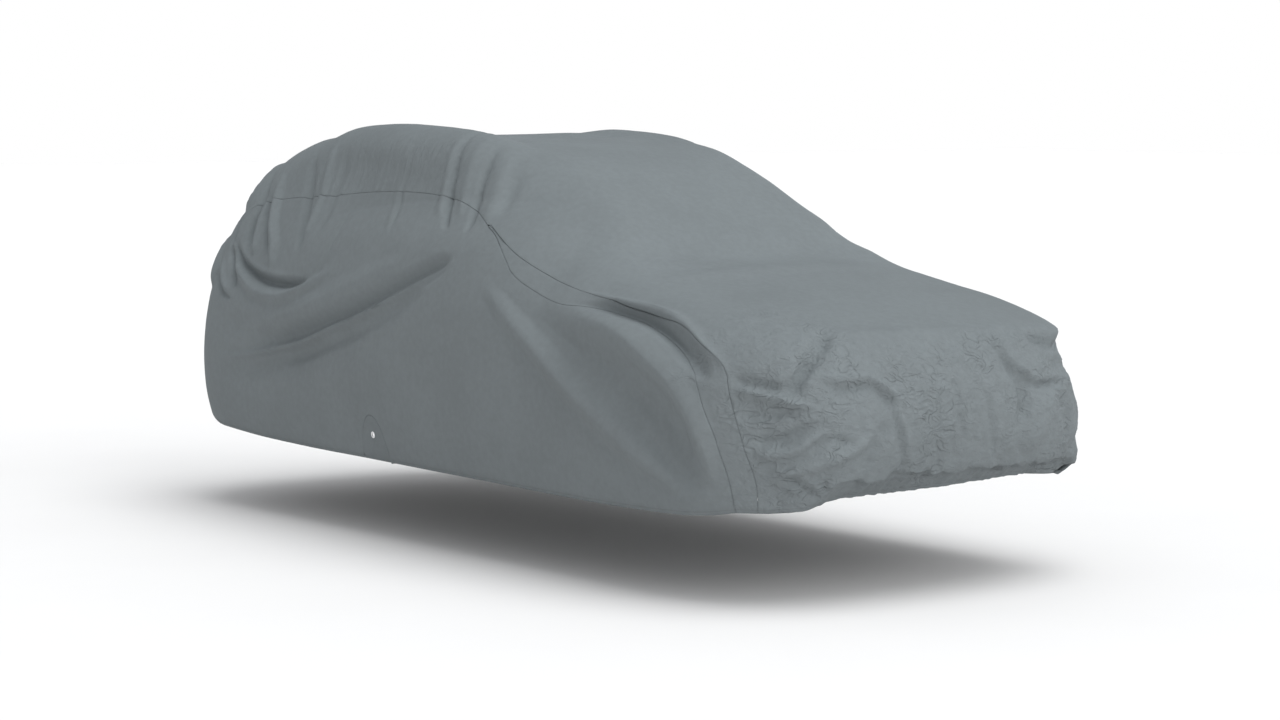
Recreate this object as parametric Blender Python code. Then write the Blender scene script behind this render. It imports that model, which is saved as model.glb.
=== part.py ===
"""A fitted outdoor cover, about 4.5 m long, drawn as its cloth hangs.

The cover is a hollow shell of sewn panels. One smooth form gives every panel its place: a side
outline swept across a front section and rounded where the two meet. Soft troughs and ridges are
laid on that form, then each panel is cut out of it between its seams and given the thickness of
the cloth.

Lengths are metres. The drawing counts x forward from the middle of the cover, y to its left and
height from the ground it hangs above. ORIGIN then brings the point under the roof to 0, 0, 0.
"""

import math

import bmesh
import bpy
import numpy as np

# ---------------------------------------------------------------- driving dimensions

CLOTH = 0.0020            # thickness of the cloth
SEAM_GAP = 0.00035        # each panel stops this far short of its seam
ORIGIN = np.array([-0.60, 0.0, 1.6945])

# Side outline along the middle, from the front hem over the roof to the rear hem.
# x, height, radius that rounds it into the sides
OUTLINE = (
    (2.105, 0.30, 0.40),
    (2.140, 0.43, 0.40),
    (2.205, 0.60, 0.40),
    (2.210, 0.78, 0.40),
    (2.165, 0.93, 0.38),
    (2.060, 1.022, 0.30),
    (1.700, 1.112, 0.22),
    (1.300, 1.178, 0.20),
    (1.020, 1.243, 0.22),
    (0.700, 1.420, 0.28),
    (0.350, 1.588, 0.26),
    (0.020, 1.661, 0.20),
    (-0.600, 1.701, 0.12),
    (-0.950, 1.697, 0.12),
    (-1.200, 1.694, 0.12),
    (-1.500, 1.674, 0.15),
    (-1.800, 1.585, 0.22),
    (-2.040, 1.370, 0.32),
    (-2.160, 1.130, 0.42),
    (-2.250, 0.820, 0.46),
    (-2.250, 0.550, 0.46),
    (-2.205, 0.380, 0.46),
    (-2.175, 0.250, 0.46),
)

# Half width of the section at each height.
SECTION = (
    (0.30, 0.905),
    (0.40, 0.930),
    (0.60, 0.950),
    (0.85, 0.950),
    (1.00, 0.930),
    (1.15, 0.890),
    (1.30, 0.835),
    (1.45, 0.765),
    (1.60, 0.700),
    (1.75, 0.640),
)

# How the form changes along its length: x, fall of the top towards its edges for each metre
# squared, bow of the end faces, how much narrower the upper part is, and the lower part.
ALONG = (
    (-2.30, 0.10, -0.10, 0.06, 0.00),
    (-1.60, 0.03, -0.05, 0.02, 0.00),
    (-1.10, -0.02, 0.00, 0.00, 0.00),
    (-0.60, -0.01, 0.00, 0.00, 0.00),
    (0.00, -0.01, 0.00, 0.02, 0.00),
    (0.30, 0.04, 0.00, 0.05, 0.00),
    (0.90, 0.07, 0.00, 0.09, 0.00),
    (1.30, 0.08, 0.02, 0.07, 0.00),
    (2.00, 0.06, 0.14, 0.05, 0.02),
    (2.30, 0.06, 0.17, 0.05, 0.03),
)
UPPER_FROM = 0.95         # height where the narrowing of the upper part starts
UPPER_OVER = 0.50         # and the height over which it comes in

# ---------------------------------------------------------------- seams, in side view (x, height)

# Rear corner of the side panel, from the hem up to where the seam turns forward.
REAR_CORNER = ((-2.00, 0.385), (-2.03, 0.60), (-2.03, 0.85), (-1.98, 1.08), (-1.86, 1.28))
# Seam under the roof edge, from the rear corner to the point of the front gusset.
ROOF_SEAM = ((-1.86, 1.28), (-1.66, 1.375), (-1.40, 1.415), (-1.01, 1.440), (-0.62, 1.468),
             (-0.31, 1.470), (-0.06, 1.450), (0.13, 1.400), (0.275, 1.330))
# Lower edge of the gusset, forward to the top of the corner, then down the corner to the hem.
GUSSET_LOWER = ((0.275, 1.330), (0.37, 1.285), (0.49, 1.202), (0.57, 1.152), (0.71, 1.109),
                (0.90, 1.073), (1.11, 1.080), (1.31, 1.064), (1.44, 1.034), (1.57, 0.988),
                (1.67, 0.935), (1.757, 0.872))
CORNER_REAR = ((1.757, 0.872), (1.797, 0.818), (1.832, 0.755), (1.857, 0.695), (1.876, 0.630),
               (1.896, 0.500), (1.889, 0.355))
# Upper edge of the gusset: the same two stretches.
GUSSET_UPPER = ((0.282, 1.336), (0.53, 1.224), (0.79, 1.157), (1.02, 1.112), (1.18, 1.092),
                (1.34, 1.074), (1.47, 1.053), (1.56, 1.034), (1.64, 1.008), (1.73, 0.968),
                (1.83, 0.925), (1.872, 0.900), (1.900, 0.866))
CORNER_FRONT = ((1.900, 0.866), (1.918, 0.812), (1.937, 0.735), (1.958, 0.643), (1.975, 0.500),
                (1.951, 0.357))

# Hem height above the ground, along the sides and across the two ends.
SIDE_HEM = ((-2.00, 0.385), (-1.72, 0.368), (-1.16, 0.342), (-0.50, 0.335), (0.30, 0.328),
            (0.95, 0.322), (1.45, 0.326), (1.74, 0.337), (1.889, 0.355))
FRONT_HEM_RISE = 0.040    # the front hem hangs this much higher in its middle
REAR_HEM_RISE = 0.030
HEM_RISE_ROWS = 9         # rows of faces above the hem that share in the rise
LEFT_CORNER_RISE = 0.030  # the cloth sits higher round the left front corner
LEFT_CORNER_FROM = 1.20   # x from which that hitch comes in
LEFT_CORNER_OVER = 0.70
LEFT_CORNER_TOP = 0.80    # and the height where it has gone

# ---------------------------------------------------------------- swells and folds

# Broad swells, in side view: side (-1 right, +1 left), x, height, reach behind, ahead, above and
# below, depth, bluntness (0 is a pointed tent, 1 a round hump)
SWELLS = (
    (-1, 0.28, 1.215, 1.50, 0.50, 0.24, 0.90, 0.070, 0.03),
    (-1, -1.40, 0.560, 0.46, 0.46, 0.26, 0.26, 0.014, 0.60),
    (1, 0.26, 1.210, 1.40, 0.50, 0.24, 0.86, 0.064, 0.03),
    (1, -1.42, 0.560, 0.44, 0.44, 0.26, 0.26, 0.012, 0.60),
    (1, 1.97, 0.860, 0.22, 0.16, 0.11, 0.24, -0.050, 0.60),
)

# Folds: view, half width, depth (a trough is negative), then the points of the fold's line.
# Points are x, height in the views right and left; y, height in front and rear; x, y on top.
FOLDS = (
    # right side: the long sweep from the tail up to the peak, and what hangs round it
    ("right", 0.120, 0.034, ((-1.75, 0.66), (-1.37, 0.71), (-0.84, 0.83), (-0.36, 0.98), (0.15, 1.18))),
    ("right", 0.100, -0.036, ((-1.00, 0.87), (-0.56, 0.97), (-0.28, 1.06), (-0.05, 1.16), (0.12, 1.25))),
    ("right", 0.160, -0.018, ((-1.75, 0.52), (-1.35, 0.56), (-0.90, 0.66), (-0.35, 0.84))),
    ("right", 0.075, -0.030, ((-1.76, 1.24), (-1.65, 1.14), (-1.46, 1.08), (-1.15, 1.06), (-0.90, 1.12))),
    ("right", 0.080, 0.032, ((-1.78, 1.20), (-1.66, 1.10), (-1.47, 1.02), (-1.21, 0.99), (-0.84, 1.09))),
    ("right", 0.080, -0.024, ((-1.66, 1.01), (-1.41, 0.95), (-1.16, 0.94), (-0.90, 0.99))),
    ("right", 0.070, -0.026, ((-1.74, 1.44), (-1.64, 1.33), (-1.52, 1.20))),
    ("right", 0.070, -0.026, ((-1.56, 1.52), (-1.48, 1.34), (-1.37, 1.16))),
    ("right", 0.080, 0.020, ((-1.10, 1.63), (-1.12, 1.42), (-1.14, 1.24))),
    ("right", 0.060, -0.012, ((-0.45, 1.66), (-0.46, 1.52), (-0.36, 1.28))),
    ("right", 0.060, -0.010, ((-0.80, 1.39), (-0.81, 1.26), (-0.87, 1.12))),
    ("right", 0.075, -0.032, ((-0.19, 1.67), (-0.10, 1.49), (0.03, 1.33))),
    ("right", 0.065, -0.028, ((0.03, 1.61), (0.07, 1.48), (0.13, 1.35))),
    ("right", 0.110, 0.010,
     ((0.30, 1.24), (0.57, 1.07), (0.80, 0.89), (1.02, 0.77), (1.30, 0.66), (1.62, 0.45))),
    ("right", 0.150, -0.046,
     ((0.72, 1.05), (0.98, 0.93), (1.24, 0.85), (1.46, 0.755), (1.63, 0.65), (1.76, 0.40))),
    ("right", 0.095, 0.030,
     ((0.92, 1.05), (1.25, 1.00), (1.47, 0.925), (1.66, 0.83), (1.775, 0.72), (1.845, 0.44))),
    # right front corner: the pocket that the gusset lies in, and the crease that starts at its foot
    ("right", 0.078, -0.056,
     ((1.00, 1.09), (1.24, 1.076), (1.44, 1.045), (1.61, 0.99), (1.72, 0.93), (1.83, 0.862))),
    ("front", 0.060, 0.028, ((-0.868, 0.815), (-0.780, 0.796), (-0.710, 0.768), (-0.640, 0.757))),
    ("front", 0.100, -0.034, ((-0.56, 1.000), (-0.67, 0.910), (-0.76, 0.810))),
    ("front", 0.070, 0.022, ((-0.50, 0.960), (-0.61, 0.870), (-0.69, 0.790))),
    ("front", 0.065, 0.020, ((-0.62, 0.860), (-0.47, 0.850), (-0.36, 0.800), (-0.27, 0.700))),
    ("front", 0.060, 0.018, ((-0.88, 0.620), (-0.78, 0.590), (-0.70, 0.620), (-0.61, 0.670))),
    ("front", 0.060, 0.016, ((-0.80, 0.500), (-0.63, 0.560), (-0.46, 0.620))),
    ("front", 0.070, -0.020, ((-0.37, 0.800), (-0.34, 0.660), (-0.29, 0.500))),
    ("front", 0.070, -0.014, ((-0.06, 0.860), (-0.05, 0.740), (-0.02, 0.620))),
    ("front", 0.070, -0.018, ((0.10, 0.740), (0.13, 0.620), (0.16, 0.500))),
    ("front", 0.080, -0.024, ((0.22, 0.960), (0.31, 0.850), (0.31, 0.740), (0.27, 0.620))),
    ("front", 0.070, -0.048, ((0.40, 0.968), (0.56, 0.944), (0.70, 0.928), (0.85, 0.915))),
    ("front", 0.100, 0.022, ((0.36, 0.520), (0.41, 0.600), (0.46, 0.690), (0.53, 0.770))),
    # the hem's drawn edge tucks in under the front
    ("front", 0.125, -0.078,
     ((-0.66, 0.345), (-0.48, 0.350), (-0.20, 0.358), (0.10, 0.366), (0.40, 0.376),
      (0.62, 0.388), (0.76, 0.395))),
    # left front corner: the notch under its top, and the belly below it
    ("left", 0.080, -0.046, ((1.86, 0.922), (1.93, 0.921), (2.00, 0.918), (2.08, 0.912))),
    ("left", 0.100, 0.030, ((1.70, 0.450), (1.85, 0.460), (1.97, 0.470), (2.06, 0.480))),
    # over the top: the roof's edges, the slack between them and at the foot of the front slope
    ("top", 0.230, 0.050, ((-1.34, -0.57), (-0.80, -0.57), (-0.35, -0.56), (0.14, -0.56))),
    ("top", 0.200, 0.016, ((-0.90, 0.55), (-0.65, 0.55), (-0.35, 0.54), (-0.05, 0.54))),
    ("top", 0.200, -0.014, ((0.58, 0.68), (0.76, 0.68), (0.94, 0.67))),
    ("top", 0.140, -0.014, ((0.90, -0.62), (0.97, -0.30), (0.98, 0.10), (0.93, 0.50))),
    ("top", 0.110, 0.010, ((1.16, -0.66), (1.20, -0.25), (1.18, 0.20), (1.14, 0.60))),
    ("top", 0.120, -0.012, ((-0.20, -0.52), (-0.45, -0.20), (-0.55, 0.20), (-0.40, 0.50))),
    # left side, finished like the right one with its own lengths
    ("left", 0.130, 0.030, ((-1.70, 0.60), (-1.30, 0.68), (-0.80, 0.80), (-0.30, 0.98), (0.10, 1.16))),
    ("left", 0.110, -0.032, ((-0.90, 0.93), (-0.50, 1.02), (-0.18, 1.14), (0.06, 1.26))),
    ("left", 0.085, -0.030, ((-1.84, 1.20), (-1.60, 1.08), (-1.30, 1.06), (-0.98, 1.14))),
    ("left", 0.085, 0.030, ((-1.84, 1.08), (-1.55, 0.98), (-1.20, 0.97), (-0.90, 1.06))),
    ("left", 0.075, -0.024, ((-1.66, 1.46), (-1.60, 1.32), (-1.56, 1.18))),
    ("left", 0.080, 0.018, ((-0.95, 1.62), (-1.00, 1.42), (-1.05, 1.24))),
    ("left", 0.075, -0.028, ((-0.10, 1.66), (-0.03, 1.50), (0.04, 1.33))),
    ("left", 0.200, 0.020, ((0.34, 1.12), (0.66, 0.92), (1.00, 0.74), (1.28, 0.56))),
    ("left", 0.150, -0.030, ((0.84, 1.00), (1.20, 0.87), (1.50, 0.74), (1.72, 0.55))),
    ("left", 0.085, 0.022, ((1.00, 1.03), (1.40, 0.93), (1.68, 0.81), (1.80, 0.64))),
    ("left", 0.075, -0.038, ((1.05, 1.085), (1.38, 1.058), (1.64, 0.975), (1.84, 0.880))),
    # rear: slack below the tail's corners
    ("rear", 0.100, -0.030, ((-0.72, 1.02), (-0.40, 0.90), (0.00, 0.87), (0.38, 0.92), (0.70, 1.04))),
    ("rear", 0.100, 0.026, ((-0.74, 0.88), (-0.40, 0.77), (0.00, 0.74), (0.36, 0.78), (0.72, 0.90))),
    ("rear", 0.080, -0.020, ((-0.46, 0.66), (-0.42, 0.54), (-0.44, 0.44))),
    ("rear", 0.080, -0.018, ((0.30, 0.64), (0.34, 0.52), (0.31, 0.43))),
    ("rear", 0.075, -0.022, ((0.56, 1.40), (0.60, 1.24), (0.62, 1.08))),
    ("rear", 0.075, -0.020, ((-0.52, 1.38), (-0.58, 1.22), (-0.60, 1.08))),
)

# ---------------------------------------------------------------- eyelets and their patches

EYELET_X = -0.415
EYELET_HEIGHT = 0.450
PATCH_HALF_WIDTH = 0.105
PATCH_TOP = 0.535         # height of the top of the patch's arch
HOLE_RADIUS = 0.0090      # hole cut in the patch
EYELET_BORE = 0.0075      # clear hole through the ring
EYELET_FLANGE = 0.0145    # outer radius of the ring's two flanges
EYELET_RIM = 0.0011       # height of a flange above the cloth
EYELET_GAP = 0.0004       # play between the ring and the cloth

# ---------------------------------------------------------------- mesh density

CORNER_ROWS = 15          # rows of faces up each corner
SIDE_COLUMNS_REAR = 11    # columns of a side panel behind its patch
PATCH_COLUMNS = 12        # columns over the patch
PATCH_FOOT_COLUMNS = 6    # faces along the patch's hem
SIDE_COLUMNS_MIDDLE = 6   # columns from the patch to the point of the gusset
SIDE_COLUMNS_FRONT = 20   # columns under the gusset
TOP_COLUMNS = 22          # faces across the top panel
GUSSET_COLUMNS = 2
PATCH_RINGS = 3
CURVE_STEPS = 8           # steps between two listed points of a curve


def smooth_path(points, steps=CURVE_STEPS):
    """A Catmull-Rom curve through the points: each span blends its two ends with their neighbours'
    slopes, as a cubic in the way along the span."""
    p = np.asarray(points, float)
    p = np.vstack([2 * p[0] - p[1], p, 2 * p[-1] - p[-2]])
    t = np.linspace(0.0, 1.0, steps, endpoint=False)[:, None]
    spans = [
        0.5 * (2 * b + (c - a) * t + (2 * a - 5 * b + 4 * c - d) * t**2 + (3 * b - a - 3 * c + d) * t**3)
        for a, b, c, d in zip(p[:-3], p[1:-2], p[2:-1], p[3:])
    ]
    return np.vstack(spans + [p[-2][None]])


def along_path(points, count):
    """count + 1 points at equal distances along the smooth curve through the given points."""
    path = smooth_path(points)
    run = np.concatenate([[0.0], np.cumsum(np.linalg.norm(np.diff(path, axis=0), axis=1))])
    wanted = np.linspace(0.0, run[-1], count + 1)
    return np.stack([np.interp(wanted, run, path[:, k]) for k in range(path.shape[1])], axis=1)


def joined(first, first_count, second, second_count):
    """Two curves laid end to end, each with its own number of equal steps."""
    return np.vstack([along_path(first, first_count)[:-1], along_path(second, second_count)])


def smoothstep(t):
    """0 below 0, 1 above 1, and 3t^2 - 2t^3 between."""
    t = np.clip(t, 0.0, 1.0)
    return t * t * (3 - 2 * t)


# ---------------------------------------------------------------- the form

SLOPE_STEP = 0.012        # half the stretch over which slopes are measured
CELL = 0.01               # size of a cell of the outline's raster
GRID_X = np.arange(-2.60, 2.60, CELL)
GRID_HEIGHT = np.arange(0.0, 2.10, CELL)
RADIUS_ROUNDS = 60        # times the radius is softened
DISTANCE_ROUNDS = 40      # times the distance is softened, deep inside
DEEP_FROM = 0.04          # depth under the outline where that starts to count
DEEP_OVER = 0.10          # and the depth over which it comes in


def outline_field():
    """Signed distance to the side outline, and the rounding radius there, on a raster of cells."""
    path = smooth_path(OUTLINE, 6)
    start, end = path[:-1], path[1:]
    step = end[:, :2] - start[:, :2]
    length2 = (step**2).sum(axis=1)
    px, pz = (a.ravel() for a in np.meshgrid(GRID_X, GRID_HEIGHT, indexing="ij"))
    from_x = px[:, None] - start[:, 0]
    from_z = pz[:, None] - start[:, 1]
    t = np.clip((from_x * step[:, 0] + from_z * step[:, 1]) / length2, 0.0, 1.0)
    dx = from_x - t * step[:, 0]
    dz = from_z - t * step[:, 1]
    near = (dx**2 + dz**2).argmin(axis=1)
    row = np.arange(len(px))
    dx, dz, t, step = dx[row, near], dz[row, near], t[row, near], step[near]
    side = np.sign(dx * step[:, 1] - dz * step[:, 0])
    radius = start[near, 2] + (end[near, 2] - start[near, 2]) * t
    shape = (len(GRID_X), len(GRID_HEIGHT))
    return (side * np.hypot(dx, dz)).reshape(shape), radius.reshape(shape)


def softened(raster, rounds):
    """The raster with each cell blended with its neighbours, 1 : 2 : 1 both ways, many times over."""
    for _ in range(rounds):
        for axis in (0, 1):
            raster = 0.25 * (np.roll(raster, 1, axis) + 2 * raster + np.roll(raster, -1, axis))
    return raster


# Deep inside the form the distance turns from one stretch of the outline to the next, so it is
# softened there, and the radius everywhere.
OUTLINE_DISTANCE, OUTLINE_RADIUS = outline_field()
OUTLINE_RADIUS = softened(OUTLINE_RADIUS, RADIUS_ROUNDS)
DEEP_INSIDE = smoothstep((-OUTLINE_DISTANCE - DEEP_FROM) / DEEP_OVER)
OUTLINE_DISTANCE += DEEP_INSIDE * (softened(OUTLINE_DISTANCE, DISTANCE_ROUNDS) - OUTLINE_DISTANCE)
SECTION_CURVE = smooth_path(SECTION)
ALONG_CURVE = smooth_path(ALONG)


def read_raster(raster, x, height):
    """The raster's value at a point, straight-line between the four cells around it."""
    fx = np.clip((x - GRID_X[0]) / CELL, 0.0, len(GRID_X) - 1.001)
    fz = np.clip((height - GRID_HEIGHT[0]) / CELL, 0.0, len(GRID_HEIGHT) - 1.001)
    i, j = fx.astype(int), fz.astype(int)
    fx, fz = fx - i, fz - j
    low = raster[i, j] * (1 - fx) + raster[i + 1, j] * fx
    high = raster[i, j + 1] * (1 - fx) + raster[i + 1, j + 1] * fx
    return low * (1 - fz) + high * fz


def form(p):
    """How far a point lies outside the smooth form. The distance to the side outline, taken where
    the crown and the bow have carried the point, and the distance to the side wall are joined with
    a round edge: the length of the two, each counted from one radius inside, less the radius."""
    x, y, height = p[..., 0], p[..., 1], p[..., 2]
    crown, bow, upper, lower = (np.interp(x, ALONG_CURVE[:, 0], ALONG_CURVE[:, k]) for k in (1, 2, 3, 4))
    to_outline = read_raster(OUTLINE_DISTANCE, x + bow * y**2, height + crown * y**2)
    radius = read_raster(OUTLINE_RADIUS, x + bow * y**2, height + crown * y**2)
    half_width = np.interp(height, SECTION_CURVE[:, 0], SECTION_CURVE[:, 1])
    half_width = half_width - upper * smoothstep((height - UPPER_FROM) / UPPER_OVER) - lower
    to_side = np.abs(y) - half_width
    a = np.maximum(to_outline + radius, 0.0)
    b = np.maximum(to_side + radius, 0.0)
    return np.where((a > 0) & (b > 0), np.hypot(a, b) - radius, np.maximum(to_outline, to_side))


def push_out(start, direction, reach=1.4):
    """Where rays from inside the form leave it, found by halving the stretch 24 times."""
    near = np.zeros(start.shape[:-1])
    far = np.full(start.shape[:-1], reach)
    for _ in range(24):
        middle = 0.5 * (near + far)
        inside = form(start + direction * middle[..., None]) < 0
        near = np.where(inside, middle, near)
        far = np.where(inside, far, middle)
    return start + direction * near[..., None]


def slope_of(field, p, step):
    """Slope of a field along each axis, by differences."""
    return np.stack([field(p + step * axis) - field(p - step * axis) for axis in np.eye(3)], axis=-1)


def unit(vector):
    return vector / np.linalg.norm(vector, axis=-1, keepdims=True)


def outward(p):
    """Unit normal of the form."""
    return unit(slope_of(form, p, SLOPE_STEP))


def on_side(x, height, side):
    """The point of the form seen at x, height from the given side (-1 right, +1 left)."""
    start = np.stack([x, np.zeros_like(x), height], axis=-1)
    return push_out(start, np.array([0.0, float(side), 0.0]))


# ---------------------------------------------------------------- folds

VIEWS = {                 # the ray that carries a flat point onto the form: start, direction
    "right": (lambda a, b: (a, 0 * a, b), (0, -1, 0)),
    "left": (lambda a, b: (a, 0 * a, b), (0, 1, 0)),
    "front": (lambda a, b: (0 * a + 1.2, a, b), (1, 0, 0)),
    "rear": (lambda a, b: (0 * a - 1.2, a, b), (-1, 0, 0)),
    "top": (lambda a, b: (a, b, 0 * a + 0.9), (0, 0, 1)),
}


def fold_line(view, points):
    """The fold's line on the form: the smooth curve through its points, carried out along the view."""
    path = smooth_path(points, 6)
    place, direction = VIEWS[view]
    start = np.stack(place(path[:, 0], path[:, 1]), axis=-1)
    return push_out(start, np.array(direction, float))


FOLD_LINES = [(fold_line(view, points), width, depth) for view, width, depth, points in FOLDS]


def fold_height(p, line, width, depth):
    """Height of one fold: depth times (1 - q^2)^2, where q is the distance to the line over the half
    width, both fading to nothing at the line's two ends."""
    start, step = line[:-1], np.diff(line, axis=0)
    from_start = p[:, None] - start
    t = np.clip((from_start * step).sum(axis=-1) / (step**2).sum(axis=-1), 0.0, 1.0)
    distance = np.linalg.norm(from_start - t[..., None] * step, axis=-1)
    near = distance.argmin(axis=1)
    row = np.arange(len(p))
    way = (near + t[row, near]) / len(step)
    fade = smoothstep(1.0 - np.abs(2 * way - 1) ** 3)
    q = np.clip(distance[row, near] / (width * (0.5 + 0.5 * fade)), 0.0, 1.0)
    return depth * fade * (1 - q * q) ** 2


def drape(p):
    """Height of the cloth above the form: the swells and the folds. A swell is a tent over its four
    reaches in side view: 1 - sqrt(q^2 + bluntness (1 - q^2)), with q the distance over the reach."""
    flat = p.reshape(-1, 3)
    total = np.zeros(len(flat))
    for side, x, height, behind, ahead, above, below, depth, bluntness in SWELLS:
        along, up = flat[:, 0] - x, flat[:, 2] - height
        q2 = (along / np.where(along < 0, behind, ahead)) ** 2 + (up / np.where(up < 0, below, above)) ** 2
        q2 = np.clip(q2, 0.0, 1.0)
        tent = (1 - np.sqrt(q2 + bluntness * (1 - q2))) / (1 - math.sqrt(bluntness))
        total += np.where(side * flat[:, 1] > 0, depth * tent, 0.0)
    for line, width, depth in FOLD_LINES:
        low, high = line.min(axis=0) - width, line.max(axis=0) + width
        close = np.all((flat > low) & (flat < high), axis=1)
        if close.any():
            total[close] += fold_height(flat[close], line, width, depth)
    return total.reshape(p.shape[:-1])


def cloth_faces(p):
    """Outer and inner face of the cloth over points of the form. The outer face stands off by the
    drape, and the inner one lies under it along the normal of the level form - drape."""
    outer = p + outward(p) * drape(p)[..., None]
    normal = unit(slope_of(form, p, SLOPE_STEP) - slope_of(drape, p, SLOPE_STEP))
    return outer, outer - CLOTH * normal


# ---------------------------------------------------------------- panel grids, as points of the form

def coons(bottom, top, rear, front):
    """Fill between four edge curves that share their corners: the two straight blends between facing
    edges, less the blend of the four corners."""
    u = np.linspace(0.0, 1.0, len(bottom))[None, :, None]
    v = np.linspace(0.0, 1.0, len(rear))[:, None, None]
    between_rows = (1 - v) * bottom[None] + v * top[None]
    between_columns = (1 - u) * rear[:, None] + u * front[:, None]
    corners = ((1 - v) * ((1 - u) * bottom[0] + u * bottom[-1])
               + v * ((1 - u) * top[0] + u * top[-1]))
    return between_rows + between_columns - corners


def hem_height(x):
    curve = smooth_path(SIDE_HEM)
    return np.interp(x, curve[:, 0], curve[:, 1])


def patch_arch():
    """Side-view points of the arch over the patch, rear foot to front foot: half an ellipse."""
    angle = np.linspace(math.pi, 0.0, PATCH_COLUMNS + 1)
    x = EYELET_X + PATCH_HALF_WIDTH * np.cos(angle)
    foot = hem_height(x)
    return np.stack([x, foot + (PATCH_TOP - foot) * np.sin(angle)], axis=1)


def side_edges():
    """The four edges of a side panel in side view."""
    arch = patch_arch()
    behind = np.linspace(SIDE_HEM[0][0], arch[0, 0], SIDE_COLUMNS_REAR + 1)[:-1]
    ahead = np.linspace(arch[-1, 0], SIDE_HEM[-1][0], SIDE_COLUMNS_MIDDLE + SIDE_COLUMNS_FRONT + 1)[1:]
    bottom = np.vstack([
        np.stack([behind, hem_height(behind)], axis=1),
        arch,
        np.stack([ahead, hem_height(ahead)], axis=1),
    ])
    roof_columns = SIDE_COLUMNS_REAR + PATCH_COLUMNS + SIDE_COLUMNS_MIDDLE
    top = joined(ROOF_SEAM, roof_columns, GUSSET_LOWER, SIDE_COLUMNS_FRONT)
    return bottom, top, along_path(REAR_CORNER, CORNER_ROWS), along_path(CORNER_REAR, CORNER_ROWS)[::-1]


def hitch(plane, side):
    """Carry side-view points onto the form. On the left the front corner is drawn up first, fading as
    a square with the height and coming in along x."""
    x, height = plane[..., 0], plane[..., 1]
    if side > 0:
        along = np.clip((x - LEFT_CORNER_FROM) / LEFT_CORNER_OVER, 0.0, 1.0)
        down = np.clip((LEFT_CORNER_TOP - height) / (LEFT_CORNER_TOP - SIDE_HEM[-1][1]), 0.0, 1.0)
        height = height + LEFT_CORNER_RISE * along * down**2
    return on_side(x, height, side)


def side_grid(side):
    bottom, top, rear, front = side_edges()
    return hitch(coons(bottom, top, rear, front), side)


def gusset_grid(side):
    """Rows run from the gusset's point to the hem, columns from its lower edge to its upper one."""
    lower = joined(GUSSET_LOWER, SIDE_COLUMNS_FRONT, CORNER_REAR, CORNER_ROWS)
    upper = joined(GUSSET_UPPER, SIDE_COLUMNS_FRONT, CORNER_FRONT, CORNER_ROWS)
    t = np.linspace(0.0, 1.0, GUSSET_COLUMNS + 1)[None, :, None]
    return hitch((1 - t) * lower[:, None] + t * upper[:, None], side)


def top_edge(side):
    """The top panel's edge on one side, from the front hem back over the roof to the rear hem."""
    roof_columns = SIDE_COLUMNS_REAR + PATCH_COLUMNS + SIDE_COLUMNS_MIDDLE
    front = joined(GUSSET_UPPER, SIDE_COLUMNS_FRONT, CORNER_FRONT, CORNER_ROWS)
    rear = joined(REAR_CORNER, CORNER_ROWS, ROOF_SEAM, roof_columns)
    return hitch(np.vstack([front[::-1], rear[::-1][1:]]), side)


def top_grid():
    """Rows cross the panel from seam to seam. Each point starts on a chord inside the form and goes
    out through a guide arch that stands on the chord, as high as the form is in the middle."""
    right, left = top_edge(-1), top_edge(1)
    middle = 0.5 * (right + left)
    run = np.gradient(middle, axis=0)
    lift = np.stack([run[:, 2], 0 * run[:, 0], -run[:, 0]], axis=1)
    lift = unit(lift)
    inside = middle - 0.25 * lift
    rise = np.linalg.norm(push_out(inside, lift) - middle, axis=1)
    t = np.linspace(-1.0, 1.0, TOP_COLUMNS + 1)[None, :, None]
    chord = middle[:, None] + t * (0.5 * (left - right))[:, None]
    row = np.arange(len(right))[:, None]
    across = t[..., 0]
    front_rise = FRONT_HEM_RISE * np.clip(1 - row / HEM_RISE_ROWS, 0, 1) ** 2
    rear_rise = REAR_HEM_RISE * np.clip(1 - row[::-1] / HEM_RISE_ROWS, 0, 1) ** 2
    chord[..., 2] += (front_rise + rear_rise) * (1 - across**4)
    guide = chord + lift[:, None] * (rise[:, None, None] * (1 - t**4))
    start = 0.4 * middle[:, None] + 0.6 * chord - 0.20 * lift[:, None] * (1 - t**4)
    return push_out(start, unit(guide - start))


# ---------------------------------------------------------------- solids

def inset_edges(grid, amount=SEAM_GAP):
    """Draw the four edges of a grid in by the seam gap, towards the next row or column."""
    g = grid.copy()
    for edge, inner in (((0,), (1,)), ((-1,), (-2,)), ((slice(None), 0), (slice(None), 1)),
                        ((slice(None), -1), (slice(None), -2))):
        pull = g[inner] - g[edge]
        g[edge] += amount * unit(pull)
    return g


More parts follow.
